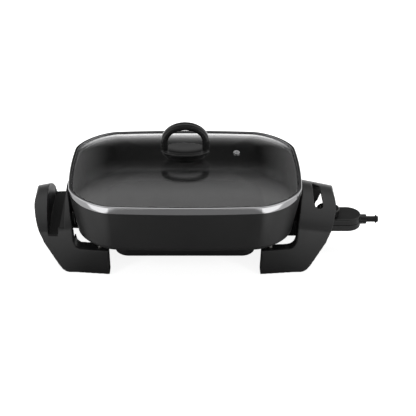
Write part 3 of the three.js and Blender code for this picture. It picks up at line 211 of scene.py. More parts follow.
# The pan: an aluminium casting with a tapering wall, long soft corners and sides that bow out,
# coated black all over. Its floor is flat, with a shallow groove round the cooking area.
# The band and the glass of the lid follow the same outline, so one tree sweeps all three.
merge_reach = 1e-6


def new_tree(name, kind, inputs, outputs):
    tree = bpy.data.node_groups.new(name, kind)
    for way, sockets in (("INPUT", inputs), ("OUTPUT", outputs)):
        for label, held, *start in sockets:
            made = tree.interface.new_socket(
                name=label, in_out=way, socket_type="NodeSocket" + held
            )
            if start:
                made.default_value = start[0]
    return tree, tree.nodes.new("NodeGroupInput").outputs


# A grid with a row for each point of a section, the share of the way round of its columns, and
# how far in or out and how high the point of each row lies
def section_grid(tree, given):
    points = add(tree, "GeometryNodeAttributeDomainSize", given["Section"]).outputs[0]
    columns = calc(tree, "ADD", given["Steps"], 1)
    grid = add(tree, "GeometryNodeMeshGrid", 1.0, 1.0, columns, points).outputs[0]
    where = tree.nodes.new("GeometryNodeInputPosition").outputs[0]
    split = add(tree, "ShaderNodeSeparateXYZ", where).outputs
    last = calc(tree, "SUBTRACT", points, 1)
    row = calc(tree, "ROUND", calc(tree, "MULTIPLY", calc(tree, "ADD", split["Y"], 0.5), last))
    sampled = add(
        tree, "GeometryNodeSampleIndex", given["Section"], where, row, data_type="FLOAT_VECTOR"
    )
    line = add(tree, "ShaderNodeSeparateXYZ", sampled.outputs[0]).outputs
    return grid, calc(tree, "ADD", split["X"], 0.5), line["X"], line["Z"]


def finish_tree(tree, given, form):
    real = add(tree, "GeometryNodeRealizeInstances", form).outputs[0]
    dressed = add(tree, "GeometryNodeSetMaterial", real, None, given["Finish"]).outputs[0]
    add(tree, "NodeGroupOutput", dressed)


def wrap_grid(tree, given, grid, *places):
    place = add(tree, "ShaderNodeCombineXYZ", *places).outputs[0]
    shaped = add(tree, "GeometryNodeSetPosition", grid, None, place).outputs[0]
    closed = add(tree, "GeometryNodeMergeByDistance", shaped, None, merge_reach).outputs[0]
    finish_tree(tree, given, closed)


# A corner's reach shrinks with the inset, between two limits. The first and last side_share of
# each quarter of the way round run along the straight sides.
def make_outline_tree():
    corner_loss, least_corner, most_corner, side_share = 0.6, 0.35, 0.92, 0.2
    tree, given = new_tree("swept outline", "GeometryNodeTree", (
        ("Section", "Geometry"),
        ("Half length", "Float", 200 * mm),
        ("Half width", "Float", 150 * mm),
        ("Corner reach", "Float", 65 * mm),
        ("Corner power", "Float", 1.7),
        ("Side bow", "Float", 10 * mm),
        ("Steps", "Int", 240),
        ("Finish", "Material"),
    ), (("Swept", "Geometry"),))
    grid, way_round, inset, height = section_grid(tree, given)
    half_x = calc(tree, "SUBTRACT", given["Half length"], inset)
    half_y = calc(tree, "SUBTRACT", given["Half width"], inset)
    most = given["Corner reach"]
    wanted = calc(tree, "SUBTRACT", most, calc(tree, "MULTIPLY", inset, corner_loss))
    wanted = calc(tree, "MAXIMUM", wanted, calc(tree, "MULTIPLY", most, least_corner))
    corner = calc(tree, "MINIMUM", wanted, calc(tree, "MULTIPLY", half_y, most_corner))
    around = calc(tree, "MULTIPLY", way_round, 4)
    quarter = calc(tree, "PINGPONG", around, 1)
    rise = mapped(tree, quarter, 0, side_share)
    angle = mapped(tree, quarter, side_share, 1 - side_share, 0, math.pi / 2)
    run = calc(tree, "SUBTRACT", 1, mapped(tree, quarter, 1 - side_share, 1))
    power = calc(tree, "DIVIDE", 2, given["Corner power"])

    def rounded(function):
        share = calc(tree, "MAXIMUM", calc(tree, function, angle), 0)
        return calc(tree, "MULTIPLY", calc(tree, "POWER", share, power), corner)

    straight_x = calc(tree, "MULTIPLY", calc(tree, "SUBTRACT", half_x, corner), run)
    straight_y = calc(tree, "MULTIPLY", calc(tree, "SUBTRACT", half_y, corner), rise)
    plain_x = calc(tree, "ADD", straight_x, rounded("COSINE"))
    plain_y = calc(tree, "ADD", straight_y, rounded("SINE"))
    shrink = calc(tree, "DIVIDE", half_y, given["Half width"])
    bow = calc(tree, "MULTIPLY", given["Side bow"], shrink)

    def bowed(value, share, other, half, function):
        drawn = calc(tree, "POWER", calc(tree, "DIVIDE", other, half), 2)
        drawn = calc(tree, "MULTIPLY", calc(tree, "MULTIPLY", drawn, bow), share)
        turn = calc(tree, function, calc(tree, "MULTIPLY", around, math.pi / 2))
        inwards = calc(tree, "SUBTRACT", value, drawn)
        return calc(tree, "MULTIPLY", inwards, calc(tree, "SIGN", turn))

    x = bowed(plain_x, run, plain_y, half_y, "COSINE")
    y = bowed(plain_y, rise, plain_x, half_x, "SINE")
    wrap_grid(tree, given, grid, x, y, height)
    return tree


outline_tree = make_outline_tree()


# A piece's modifiers made into its plain mesh
def settled(piece):
    seen_now = bpy.context.evaluated_depsgraph_get()
    made = bpy.data.meshes.new_from_object(piece.evaluated_get(seen_now))
    piece.modifiers.clear()
    piece.data = made
    return piece


def run_tree(name, mesh, tree, values):
    piece = new_object(name, mesh)
    modifier = piece.modifiers.new("tree", "NODES")
    modifier.node_group = tree
    for item in tree.interface.items_tree:
        if item.name in values:
            modifier[item.identifier] = values[item.name]
    return settled(piece)


def shade(piece, sharp):
    piece.data.shade_smooth()
    piece.data.set_sharp_from_angle(angle=math.radians(sharp))
    return piece


def tidy(piece, sharp=35):
    shape = bmesh.new()
    shape.from_mesh(piece.data)
    bmesh.ops.remove_doubles(shape, verts=shape.verts, dist=merge_reach)
    bmesh.ops.dissolve_degenerate(shape, edges=shape.edges, dist=merge_reach / 10)
    rims = [edge for edge in shape.edges if edge.is_boundary]
    bmesh.ops.holes_fill(shape, edges=rims, sides=0)
    bmesh.ops.recalc_face_normals(shape, faces=shape.faces)
    shape.to_mesh(piece.data)
    shape.free()
    return shade(piece, sharp)


def section_line(name, section):
    line = bpy.data.meshes.new(name)
    joins = [(place, place + 1) for place in range(len(section) - 1)]
    line.from_pydata([(out * mm, 0, height * mm) for out, height in section], joins, [])
    return line


def moved(piece, at):
    piece.data.transform(Matrix.Translation([place * mm for place in at]))
    return piece


def swept(name, section, finish):
    line = section_line(name, section)
    return moved(tidy(run_tree(name, line, outline_tree, {"Finish": finish})), (pan_x, 0, 0))


# Points round part of a circle or of an ellipse, or of a squarer form where the power is low
def arc(across, up, radius, start, end, steps=8, radius_up=None, power=1):
    radius_up = radius if radius_up is None else radius_up
    points = []
    for step in range(steps + 1):
        turn = math.radians(start + (end - start) * step / steps)
        shares = math.cos(turn), math.sin(turn)
        x, y = (math.copysign(abs(share) ** power, share) for share in shares)
        points.append((across + radius * x, up + radius_up * y))
    return points


# Every coated, moulded, painted and metal surface has a fine grain and faint broad patches.
grain_group, given = new_tree(
    "surface grain",
    "ShaderNodeTree",
    (("Grains per metre", "Float", 1500), ("Patches per metre", "Float", 12)),
    (("Grain", "Float"), ("Patches", "Float")),
)
spot = add(grain_group, "ShaderNodeTexCoord").outputs["Object"]
fine = add(grain_group, "ShaderNodeTexNoise", spot, None, given["Grains per metre"], 2.0)
broad = add(grain_group, "ShaderNodeTexNoise", spot, None, given["Patches per metre"], 3.0)
add(grain_group, "NodeGroupOutput", fine.outputs[0], broad.outputs[0])


def new_material(name):
    material = bpy.data.materials.new(name)
    material.use_nodes = True
    tree = material.node_tree
    texture = add(tree, "ShaderNodeGroup", node_tree=grain_group)
    return material, tree, tree.nodes["Principled BSDF"], texture


patch_range, tint_share, plastic_relief, metal_relief = (0.3, 0.7), 0.15, 0.25, 0.04


# The patches run from the smoothest to the roughest, and the grain stands depth millimetres high
def surface(name, smoothest, roughest, grains, relief, depth):
    material, tree, shader, texture = new_material(name)
    texture.inputs["Grains per metre"].default_value = grains
    grain, patches = texture.outputs
    rough = mapped(tree, patches, *patch_range, smoothest, roughest)
    tree.links.new(rough, shader.inputs["Roughness"])
    bump = add(tree, "ShaderNodeBump")
    bump.inputs["Strength"].default_value = relief
    bump.inputs["Distance"].default_value = depth * mm
    tree.links.new(grain, bump.inputs["Height"])
    tree.links.new(bump.outputs[0], shader.inputs["Normal"])
    return material, tree, shader, patches


# Places of a Mix node's sockets: its two inputs and its output, for a colour and for a value
colour_mix, value_mix = (6, 7, 2), (2, 3, 0)


def grained(name, colour, roughness, grains, depth, spread=0.06, specular=0.5):
    material, tree, shader, patches = surface(
        name, roughness - spread, roughness + spread, grains, plastic_relief, depth
    )
    shader.inputs["Specular IOR Level"].default_value = specular
    darker, lighter, mixed = colour_mix
    tint = add(tree, "ShaderNodeMix", patches, data_type="RGBA")
    for place, tone in ((darker, 1 - tint_share), (lighter, 1 + tint_share)):
        tint.inputs[place].default_value = (*[share * tone for share in colour], 1)
    tree.links.new(tint.outputs[mixed], shader.inputs["Base Color"])
    return material


pan_coating = grained("pan_coating", (0.017, 0.017, 0.0172), 0.38, 1400, 0.03, specular=0.4)
rim_top, floor_z, recess_z, base_z = 149.2, 90.0, 85.0, 68.0
rim_inset, taper, pan_wall, outer_roll, inner_roll = 1.2, 12.5, 4.5, 14, 20
wall_slope = taper / (rim_top - base_z - outer_roll)
inside_foot = rim_inset + (rim_top - floor_z - inner_roll) * wall_slope + pan_wall
floor_edge = inside_foot + inner_roll
pan_section = [
    (35.2, recess_z),
    (32.4, base_z + 1),
    (31.4, base_z),
    *arc(rim_inset + taper + outer_roll, base_z + outer_roll, outer_roll, 270, 180, 12),
    (rim_inset, rim_top - 0.8),
    (rim_inset + 0.25, rim_top - 0.25),
    (rim_inset + 0.9, rim_top),
    (rim_inset + 3.8, rim_top),
    (rim_inset + pan_wall, rim_top - 0.7),
    *arc(floor_edge, floor_z + inner_roll, inner_roll, 180, 270, 12),
    (floor_edge + 23, floor_z),
    (floor_edge + 24, floor_z - 0.3),
    (floor_edge + 26.5, floor_z - 0.8),
    (floor_edge + 28.5, floor_z - 0.8),
    (floor_edge + 31, floor_z - 0.3),
    (floor_edge + 32, floor_z),
]
pan = swept("pan", pan_section, pan_coating)
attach(pan, "skillet")
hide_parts("pan_body")

# The lid's band: polished steel strip folded round the glass, with a shelf that the glass stands
# on and a lip that drops inside the pan's rim. Its corners are rolled, not sharp.


def speckled_metal(name, colour, roughness, spread):
    grains, depth = 900, 0.02
    material, _, shader, _ = surface(
        name, roughness, roughness + spread, grains, metal_relief, depth
    )
    shader.inputs["Metallic"].default_value = 1.0
    shader.inputs["Base Color"].default_value = (*colour, 1)
    return material


polished_steel = speckled_metal("polished_steel", (0.56, 0.56, 0.57), 0.09, 0.07)
lip_foot, rest_z, shelf_z, band_top = 145.5, 149.5, 150.7, 162.0
strip, top_roll = 1.2, 1.9
band_section = [
    (7.2 + strip, lip_foot),
    (7.2, lip_foot),
    (7.2, rest_z - 0.4),
    (6.8, rest_z),
    (1.0, rest_z),
    (0.55, rest_z + 0.2),
    (0.3, rest_z + 0.8),
    (0.05, rest_z + 4),
    (0.0, rest_z + 7),
    *arc(top_roll, band_top - top_roll, top_roll, 180, 90),
    (5.2, band_top),
    (5.5, band_top - 0.3),
    (5.5, band_top - strip),
    (2.2, band_top - strip),
    (1.4, band_top - 1.6),
    (strip, band_top - 2.4),
    (strip, shelf_z + 0.4),
    (strip + 0.4, shelf_z),
    (8.1, shelf_z),
    (7.2 + strip, shelf_z - 0.3),
    (7.2 + strip, lip_foot),
]
band = swept("band", band_section, polished_steel)
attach(band, "lid")
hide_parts("lid_band")

# The glass: one sheet of clear tempered glass, 4 mm thick, with a rounded edge and a dome that
# flattens towards a long crown. It is bored for the knob's screw and for the steam vent.


def carve(piece, operation, *tools):
    for tool in tools:
        modifier = piece.modifiers.new("carve", "BOOLEAN")
        modifier.solver = "MANIFOLD"
        modifier.operation = operation
        modifier.object = tool
    settled(piece)
    for tool in tools:
        bpy.data.objects.remove(tool)
    return piece


# Rings of points joined into one closed form
def lofted(name, rings):
    count = len(rings[0])
    faces = [tuple(range(count)), tuple((len(rings) - 1) * count + step for step in range(count))]
    for level in range(len(rings) - 1):
        for step in range(count):
            near, far = level * count + step, level * count + (step + 1) % count
            faces.append((near, far, far + count, near + count))
    mesh = bpy.data.meshes.new(name)
    mesh.from_pydata([point for ring in rings for point in ring], [], faces)
    shape = bmesh.new()
    shape.from_mesh(mesh)
    bmesh.ops.recalc_face_normals(shape, faces=shape.faces)
    shape.to_mesh(mesh)
    shape.free()
    return new_object(name, mesh)


# An outline in millimetres pushed along one axis
def pushed(axis, outline, low, high, at=(0, 0, 0)):
    order = {"x": (2, 0, 1), "y": (0, 2, 1), "z": (0, 1, 2)}[axis]

    def placed(*point):
        return tuple(point[place] + offset for place, offset in zip(order, at))

    return lofted("pushed", [[placed(a, b, end) for a, b in outline] for end in (low, high)])


def round_bar(axis, radius, low, high, at=(0, 0, 0), steps=32):
    return pushed(axis, arc(0, 0, radius, 0, 360, steps)[:-1], low, high, at)


# From millimetres, counted from the pan's middle, to the frame's metres
def to_frame(piece, turn=0.0, x=pan_x):
    place = Matrix.Translation((x * mm, 0, 0)) @ Matrix.Rotation(turn, 4, "Z")
    piece.data.transform(place @ Matrix.Scale(mm, 4))
    return piece


def dress(piece, finish):
    piece.data.materials.clear()
    piece.data.materials.append(finish)


def clear_glass(name, tint):
    haze_range, most_haze, shadow_tone = (0.45, 0.75), 0.03, 0.9
    material, tree, shader, texture = new_material(name)
    shader.inputs["Transmission Weight"].default_value = 1.0
    shader.inputs["IOR"].default_value = 1.5
    shader.inputs["Base Color"].default_value = (*tint, 1)
    haze = mapped(tree, texture.outputs["Patches"], *haze_range, 0.0, most_haze)
    tree.links.new(haze, shader.inputs["Roughness"])
    rays = add(tree, "ShaderNodeLightPath").outputs
    passing = calc(tree, "MAXIMUM", rays["Is Shadow Ray"], rays["Is Diffuse Ray"])
    straight = add(tree, "ShaderNodeBsdfTransparent", (*[shadow_tone] * 3, 1))
    mixed = add(tree, "ShaderNodeMixShader", passing, shader.outputs[0], straight.outputs[0])
    tree.links.new(mixed.outputs[0], tree.nodes["Material Output"].inputs["Surface"])
    return material


lid_finish = clear_glass("clear_glass", (0.93, 0.93, 0.93))
land_inset, crown_inset, land_height, dome_rise, glass_wall = 9.0, 128.0, 161.4, 17.6, 4.0
dome_steps, crowding, flattening = 28, 1.4, 2.5
edge_foot = 155.0
dome_line = []
for step in range(dome_steps + 1):
    share = (step / dome_steps) ** crowding
    rise = dome_rise * (1 - (1 - share) ** flattening)
    dome_line.append((land_inset + (crown_inset - land_inset) * share, land_height + rise))
glass_section = [
    *[(inset, height - glass_wall) for inset, height in reversed(dome_line)],
    (5.5, edge_foot + 0.5),
    (3.4, edge_foot),
    (2.4, edge_foot + 0.4),
    (2.0, edge_foot + 1.4),
    (2.0, edge_foot + 2.8),
    (2.5, edge_foot + 3.8),
    (4.0, edge_foot + 4.4),
    (6.0, edge_foot + 5.1),
    *dome_line,
]
glass = swept("glass", glass_section, lid_finish)
vent_x, vent_y = middle("vent_eyelet", "x"), middle("vent_eyelet", "y")
knob_screw_way, vent_way, past_lid = 3, 4.1, (140, 220)
knob_bore = round_bar("z", knob_screw_way, *past_lid)
vent_bore = round_bar("z", vent_way, *past_lid, at=(vent_x - pan_x, vent_y, 0))
carve(glass, "DIFFERENCE", to_frame(knob_bore), to_frame(vent_bore))
dress(tidy(glass, sharp=50), lid_finish)
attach(glass, "lid")
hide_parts("lid_glass")

# Turned pieces: the vent's rolled steel eyelet, bright and hollow, is the first of them.
# One tree turns a section round an axis and can cut flutes into its outer face.


def make_turned_tree():
    tree, given = new_tree("turned form", "GeometryNodeTree", (
        ("Section", "Geometry"),
        ("Steps", "Int", 48),
        ("Flutes", "Float", 0.0),
        ("Flute depth", "Float", 0.0),
        ("Flutes from radius", "Float", 1.0),
        ("Finish", "Material"),
    ), (("Turned", "Geometry"),))
    grid, way_round, out, height = section_grid(tree, given)
    angle = calc(tree, "MULTIPLY", way_round, 2 * math.pi)
    wave = calc(tree, "COSINE", calc(tree, "MULTIPLY", angle, given["Flutes"]))
    hollow = calc(tree, "MULTIPLY", calc(tree, "SUBTRACT", 1, wave), 0.5)
    fluted = calc(tree, "GREATER_THAN", out, given["Flutes from radius"])
    depth = calc(tree, "MULTIPLY", calc(tree, "MULTIPLY", hollow, fluted), given["Flute depth"])
    radius = calc(tree, "SUBTRACT", out, depth)
    x, y = (calc(tree, "MULTIPLY", radius, calc(tree, way, angle)) for way in ("COSINE", "SINE"))
    wrap_grid(tree, given, grid, x, y, height)
    return tree


turned_tree = make_turned_tree()


def turned(name, section, finish, at=(0, 0, 0), along="z", sharp=35, **values):
    line = section_line(name, section)
    piece = run_tree(name, line, turned_tree, {"Finish": finish, **values})
    if along == "x":
        piece.data.transform(Matrix.Rotation(math.pi / 2, 4, "Y"))
    return tidy(moved(piece, at), sharp)


vent_foot, vent_top = ends("vent_eyelet", "z")
vent_hole, barrel, flange = 3.1, 3.8, 5.8
vent_section = [
    (vent_hole, vent_foot + 0.2),
    (vent_hole + 0.3, vent_foot),
    (flange - 0.9, vent_foot),
    (flange - 0.1, vent_foot + 0.4),
    (flange, vent_foot + 0.9),
    (barrel, vent_foot + 0.95),
    (barrel, vent_top - 1.3),
    (flange, vent_top - 1.3),
    *arc(flange - 0.9, vent_top - 1.1, 1.0, 0, 180, 10, 1.1),
    (vent_hole + 0.3, vent_top - 2.0),
    (vent_hole, vent_top - 2.6),
    (vent_hole, vent_foot + 0.2),
]
eyelet = turned("vent", vent_section, polished_steel, at=(vent_x, vent_y, 0))
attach(eyelet, "lid")
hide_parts("vent_eyelet")

# The lid's knob: a gloss black moulding. An oval dish flares up from its seat to a rolled rim,
# and a round-edged loop springs from the dish's ends and stands over it.
knob_plastic = grained("knob_plastic", (0.006, 0.006, 0.006), 0.22, 900, 0.02, spread=0.04)


def oval(half_x, half_y, height):
    return [(x, y, height) for x, y in arc(0, 0, half_x, 0, 360, 120, half_y)[:-1]]


def smoothed(piece, voxel, rounds, finish):
    remesh = piece.modifiers.new("remesh", "REMESH")
    remesh.mode = "VOXEL"
    remesh.voxel_size = voxel * mm
    soften = piece.modifiers.new("soften", "SMOOTH")
    soften.iterations = rounds
    dress(settled(piece), finish)
    piece.data.shade_smooth()
    return piece


seat_foot = ends("knob_seat", "z")[0]
seat = lofted("knob_foot", [
    oval(29.4, 18.1, seat_foot),
    oval(30.3, 18.8, seat_foot + 0.5),
    oval(31.2, 19.4, seat_foot + 1.6),
    oval(33.4, 20.7, seat_foot + 4.1),
    oval(33.2, 20.5, seat_foot + 4.5),
])
carve(to_frame(seat), "DIFFERENCE", to_frame(round_bar("z", knob_screw_way, *past_lid)))
dress(tidy(seat), knob_plastic)
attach(seat, "lid")
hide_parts("knob_seat")

dish_foot, rim, lip_drop = seat_foot + 4.8, seat_foot + 17.7, 0.4
hollow_x, hollow_y, hollow_depth = 39.4, 23.4, 6.1
dish = lofted("knob", [
    oval(33.4, 20.6, dish_foot),
    oval(36.4, 22.5, dish_foot + 1.9),
    oval(39.1, 24.2, dish_foot + 4.4),
    oval(41.0, 25.4, dish_foot + 7.9),
    oval(42.0, 26.0, rim - 1.3),
    oval(41.6, 25.6, rim - lip_drop),
    oval(40.7, 24.7, rim),
    *[
        oval(
            hollow_x * share, hollow_y * share, rim - lip_drop - hollow_depth * (1 - share ** 2)
        )
        for share in (1.0, 0.93, 0.85, 0.75, 0.64, 0.52, 0.4, 0.28, 0.16, 0.05)
    ],
])
loop_foot, spring, half_span, loop_rise = seat_foot + 10.7, seat_foot + 32.7, 35.7, 28.2
loop_half_wide, loop_half_deep, squareness, upright_steps, arch_steps = 6.3, 7.0, 0.62, 12, 48
loop_outline = arc(0, 0, loop_half_wide, 0, 360, 32, loop_half_deep, squareness)[:-1]
upright = (spring - loop_foot) / upright_steps
rises = [loop_foot + upright * step for step in range(upright_steps)]
loop_line = [((half_span, rise), (1, 0)) for rise in rises]
for step in range(arch_steps + 1):
    turn = math.pi * step / arch_steps
    centre = (half_span * math.cos(turn), spring + loop_rise * math.sin(turn))
    out = Vector((loop_rise * math.cos(turn), half_span * math.sin(turn))).normalized()
    loop_line.append((centre, tuple(out)))
loop_line += [((-half_span, rise), (-1, 0)) for rise in reversed(rises)]
loop = lofted("loop", [
    [(centre[0] + out[0] * wide, deep, centre[1] + out[1] * wide) for wide, deep in loop_outline]
    for centre, out in loop_line
])
knob_bore = round_bar("z", knob_screw_way, dish_foot - 5, dish_foot + 5)
carve(to_frame(dish), "UNION", to_frame(loop))
carve(dish, "DIFFERENCE", to_frame(knob_bore))
knob = smoothed(dish, 0.6, 3, knob_plastic)
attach(knob, "lid")
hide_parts("knob_handle")

# The legs: two black mouldings, each handle, front foot and rear foot in one, thin-walled and
# hollow below. The left has a finger gap open at the top, the right a slot over the probe.
leg_plastic = grained("leg_plastic", (0.0145, 0.0145, 0.0147), 0.4, 1100, 0.08, specular=0.45)


# Painted shade: inside the left grip the finish turns near black, standing in for shade, and rough,
# from one X to another and above a floor that steps up at a third X, all from the pan's middle in
# millimetres
def paint_grip_shade(material, x_from, x_to, z_from, x_step, step_height):
    tree = material.node_tree
    shader = tree.nodes["Principled BSDF"]
    at = add(tree, "ShaderNodeSeparateXYZ", add(tree, "ShaderNodeTexCoord").outputs["Object"])
    x, z = at.outputs["X"], at.outputs["Z"]
    low, high, step = ((pan_x + place) * mm for place in (x_from, x_to, x_step))
    past, short = mapped(tree, x, low, low + mm), mapped(tree, x, high - mm, high, 1.0, 0.0)
    raised = calc(tree, "MULTIPLY", calc(tree, "GREATER_THAN", x, step), step_height * mm)
    height = calc(tree, "SUBTRACT", z, raised)
    above = mapped(tree, height, z_from * mm, (z_from + 1) * mm)
    grip_shade_mask = calc(tree, "MULTIPLY", calc(tree, "MULTIPLY", past, short), above)
    # The near-black base colour is painted shade; the higher roughness is the surface's own
    for label, data_type, (plain, dark, mixed), finish in (
        ("Base Color", "RGBA", colour_mix, (0.002, 0.002, 0.002, 1)),
        ("Roughness", "FLOAT", value_mix, 0.75),
    ):
        mix = add(tree, "ShaderNodeMix", grip_shade_mask, data_type=data_type)
        tree.links.new(shader.inputs[label].links[0].from_socket, mix.inputs[plain])
        mix.inputs[dark].default_value = finish
        tree.links.new(mix.outputs[mixed], shader.inputs[label])


# Painted shade in the left leg's finger gap
paint_grip_shade(leg_plastic, x_from=-236, x_to=-206.6, z_from=69.5, x_step=-218.3, step_height=15)


# A curve from the first place to the last, drawn towards the others
def bent(*controls, steps=12):
    points = []
    for step in range(steps + 1):
        share, level = step / steps, [Vector(control) for control in controls]
        while len(level) > 1:
            level = [near.lerp(far, share) for near, far in zip(level, level[1:])]
        points.append(tuple(level[0]))
    return points


def drawn_in(outline, distance):
    drawn = []
    for place, point in enumerate(outline):
        before, after = Vector(outline[place - 1]), Vector(outline[(place + 1) % len(outline)])
        first, second = (Vector(point) - before).normalized(), (after - Vector(point)).normalized()
        left, right = Vector((-first.y, first.x)), Vector((-second.y, second.x))
        step = (left + right) * (distance / max(1 + left.dot(right), 0.2))
        drawn.append((point[0] + step.x, point[1] + step.y))
    return drawn


def box(x_low, x_high, y_low, y_high, z_low, z_high):
    corners = [(x_low, y_low), (x_high, y_low), (x_high, y_high), (x_low, y_high)]
    return pushed("z", corners, z_low, z_high)


# A leg narrows away from the pan, and above its feet it droops away from it too
def lean(piece, droops=True):
    droop, droop_x, droop_from, droop_over = 0.19, 205.5, 52, 38
    narrowing, narrow_x = 0.00125, 165
    for vertex in piece.data.vertices:
        share = min(max((vertex.co.z - droop_from) / droop_over, 0), 1)
        if droops:
            vertex.co.z -= droop * share * (vertex.co.x - droop_x)
        vertex.co.y *= 1 - narrowing * (vertex.co.x - narrow_x)
    return piece


leg_wall, foot_z, arm_z, screw_way = 3.5, 1.3, 47.8, 2.3
past_leg, past_side, past_top, past_foot = (120, 272), 101, band_top + 10, -10
rib_places, rib_half, rib_height = (152.95, 175.83), 1.2, 50
arm_screw_x, arm_screw_y, side_screw_y, side_screw_z = 147, 65.5, 11, 82
through_arm, through_side = (30, 60), (180, 202)
bracket_seat = (130, 196.8, -23, 23, 74, band_top)
leg_line = [
    *bent((203, foot_z), (211.5, foot_z), (222, 20), steps=14),
    *bent((243.7, 57), (245.5, 66), (257, 86), (262, 107), steps=20),
    *bent((262, 107), (262, 114), (256.5, 118))[1:],
    (205.5, 127.6),
    (199.5, 116),
    (193.3, 93),
    *bent((191.3, 64), (190, arm_z), (175, arm_z)),
    (131.5, arm_z),
    (130, foot_z),
]
arch_half, crown_half, crown_top, crown_fall, crown_steps = 91, 72.4, 126.6, 26.4, 24
half_arch = [(arch_half, foot_z + past_foot), (arch_half, foot_z)]
half_arch += bent((87, 77.55), (87, 89.55), (crown_half, crown_top - crown_fall), steps=10)
for step in range(crown_steps - 1, -1, -1):
    share = step / crown_steps
    half_arch.append((crown_half * share, crown_top - crown_fall * share ** 2))
arch_line = half_arch + [(-y, z) for y, z in reversed(half_arch[:-1])]


def arch_over(inset=0.0):
    return lean(pushed("x", drawn_in(arch_line, inset) if inset else arch_line, *past_leg))


def arch_below(drop):
    half, squareness = 69, 0.5
    line = arc(0, foot_z, half, 0, 180, 40, band_top - foot_z - drop, squareness)
    line = [(half, past_foot), *line, (-half, past_foot)]
    return lean(pushed("x", line, *past_leg), droops=False)


def make_leg(drop, keep, cuts):
    sides = (-past_side, past_side)
    leg = carve(pushed("y", leg_line, *sides), "INTERSECT", arch_over())
    hollow = pushed("y", drawn_in(leg_line, leg_wall), *sides)
    carve(hollow, "INTERSECT", arch_over(leg_wall))
    ribs = [
        box(x - rib_half, x + rib_half, *sides, foot_z, foot_z + rib_height) for x in rib_places
    ]
    carve(hollow, "DIFFERENCE", *ribs, *keep)
    below = carve(arch_below(drop), "DIFFERENCE", box(*bracket_seat))
    bores = []
    for way in (-1, 1):
        arm_at, side_at = (arm_screw_x, way * arm_screw_y, 0), (0, way * side_screw_y, side_screw_z)
        bores.append(round_bar("z", screw_way, *through_arm, arm_at))
        bores.append(round_bar("x", screw_way, *through_side, side_at))
    return carve(leg, "DIFFERENCE", hollow, below, *cuts, *bores)


gap_floor, gap_inner, gap_middle, gap_outer = 71.0, 207.5, 218, 237
gap_bow, gap_lean, gap_from, gap_to, overlap = 4.5, 0.045, 197.5, 262, 0.3
front_step, front_floor, rear_floor = 86, 73, 72.5


# The finger gap bows outwards in plan, and its outer wall leans out
def grip_channel(wider=0.0):
    inner, low = gap_inner - wider, gap_floor - wider
    near, far = gap_outer + wider - gap_bow, gap_outer + wider + gap_bow
    curve = bent((near, -past_side), (far, 0), (near, past_side), steps=24)
    outline = [(inner, -past_side), *curve, (inner, past_side)]
    channel = pushed("z", outline, low, past_top)
    for vertex in channel.data.vertices:
        if vertex.co.x > gap_middle:
            vertex.co.x += gap_lean * (vertex.co.z - low)
    return channel


gap_limits = (
    arch_over(leg_wall),
    box(gap_from, gap_middle + overlap, 0, past_side, front_step, past_top),
    box(gap_middle, gap_to, 0, past_side, front_floor, past_top),
    box(gap_from, gap_to, -past_side, overlap, rear_floor, past_top),
)
open_cuts = [carve(grip_channel(), "INTERSECT", limit) for limit in gap_limits]
# Two windows in the wall towards the pan, beside the bracket
hatch_x, hatch_z, hatch_sides = (181.3, 203.7), (57, 98), ((-67, -23), (23, 67))
open_cuts += [box(*hatch_x, *sides, *hatch_z) for sides in hatch_sides]
leg_left = make_leg(101, [grip_channel(leg_wall)], open_cuts)
leg_left.name = "leg_open"
smoothed(to_frame(leg_left, math.pi), 1.25, 6, leg_plastic)
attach(leg_left, "skillet")
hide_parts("leg_left")

slot_x, slot_y, slot_half, slot_floor = 230.65, -41.65, 7.35, 96
slot_front = arc(slot_x, slot_y, slot_half, 180, 360, 12)
slot_line = [(slot_x - slot_half, 17), *slot_front, (235.2, 9)]
pocket_x, pocket_half_y, pocket_z = (236, 272), 83.5, (50, 90)
pocket = lean(box(*pocket_x, -pocket_half_y, pocket_half_y, *pocket_z), droops=False)
closed_cuts = [
    pushed("z", slot_line, slot_floor, band_top),
    carve(pocket, "INTERSECT", arch_over(leg_wall)),
]
leg_right = make_leg(72, [], closed_cuts)
leg_right.name = "leg_closed"
smoothed(to_frame(leg_right), 1.2, 6, leg_plastic)
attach(leg_right, "skillet")
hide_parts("leg_right")

# What holds the legs: a black steel bracket at each end of the pan, four plated spacers on the
# arms, and a rubber pad pressed into each foot. Edges of the brackets and pads are broken.
bracket_paint = grained("bracket_paint", (0.013, 0.013, 0.0135), 0.38, 900, 0.03, specular=0.4)
plated_steel = speckled_metal("plated_steel", (0.36, 0.355, 0.34), 0.34, 0.16)
soft_rubber = grained("soft_rubber", (0.011, 0.011, 0.011), 0.72, 1500, 0.1, specular=0.35)


def refined(name, node, voxel, rounds, finish, body):
    mesh = bpy.data.objects[node].data.copy()
    shape = bmesh.new()
    shape.from_mesh(mesh)
    bmesh.ops.remove_doubles(shape, verts=shape.verts, dist=merge_reach)
    shape.to_mesh(mesh)
    shape.free()
    piece = smoothed(new_object(name, mesh), voxel, rounds, finish)
    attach(piece, body)
    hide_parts(node)


for side in ("left", "right"):
    bracket = f"side_bracket_{side}"
    refined(f"bracket_{side}", bracket, 0.5, 3, bracket_paint, "skillet")
spacer_out, eased = 3.5, 0.3
corners = ("right_front", "right_rear", "left_front", "left_rear")


# The section of a round sleeve or washer with its outer edges broken
def ring_section(hole, out, low, high, edge):
    foot = [(hole, low), (out - edge, low), (out, low + edge)]
    return [*foot, (out, high - edge), (out - edge, high), (hole, high), (hole, low)]


for corner in corners:
    node = f"spacer_{corner}"
    spacer_section = ring_section(screw_way, spacer_out, *ends(node, "z"), eased)
    spacer_at = (middle(node, "x"), middle(node, "y"), 0)
    spacer = turned(f"sleeve_{corner}", spacer_section, plated_steel, at=spacer_at)
    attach(spacer, "skillet")
    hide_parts(f"spacer_{corner}")
    pad = f"foot_pad_{corner}"
    refined(f"pad_{corner}", pad, 0.25, 2, soft_rubber, "skillet")

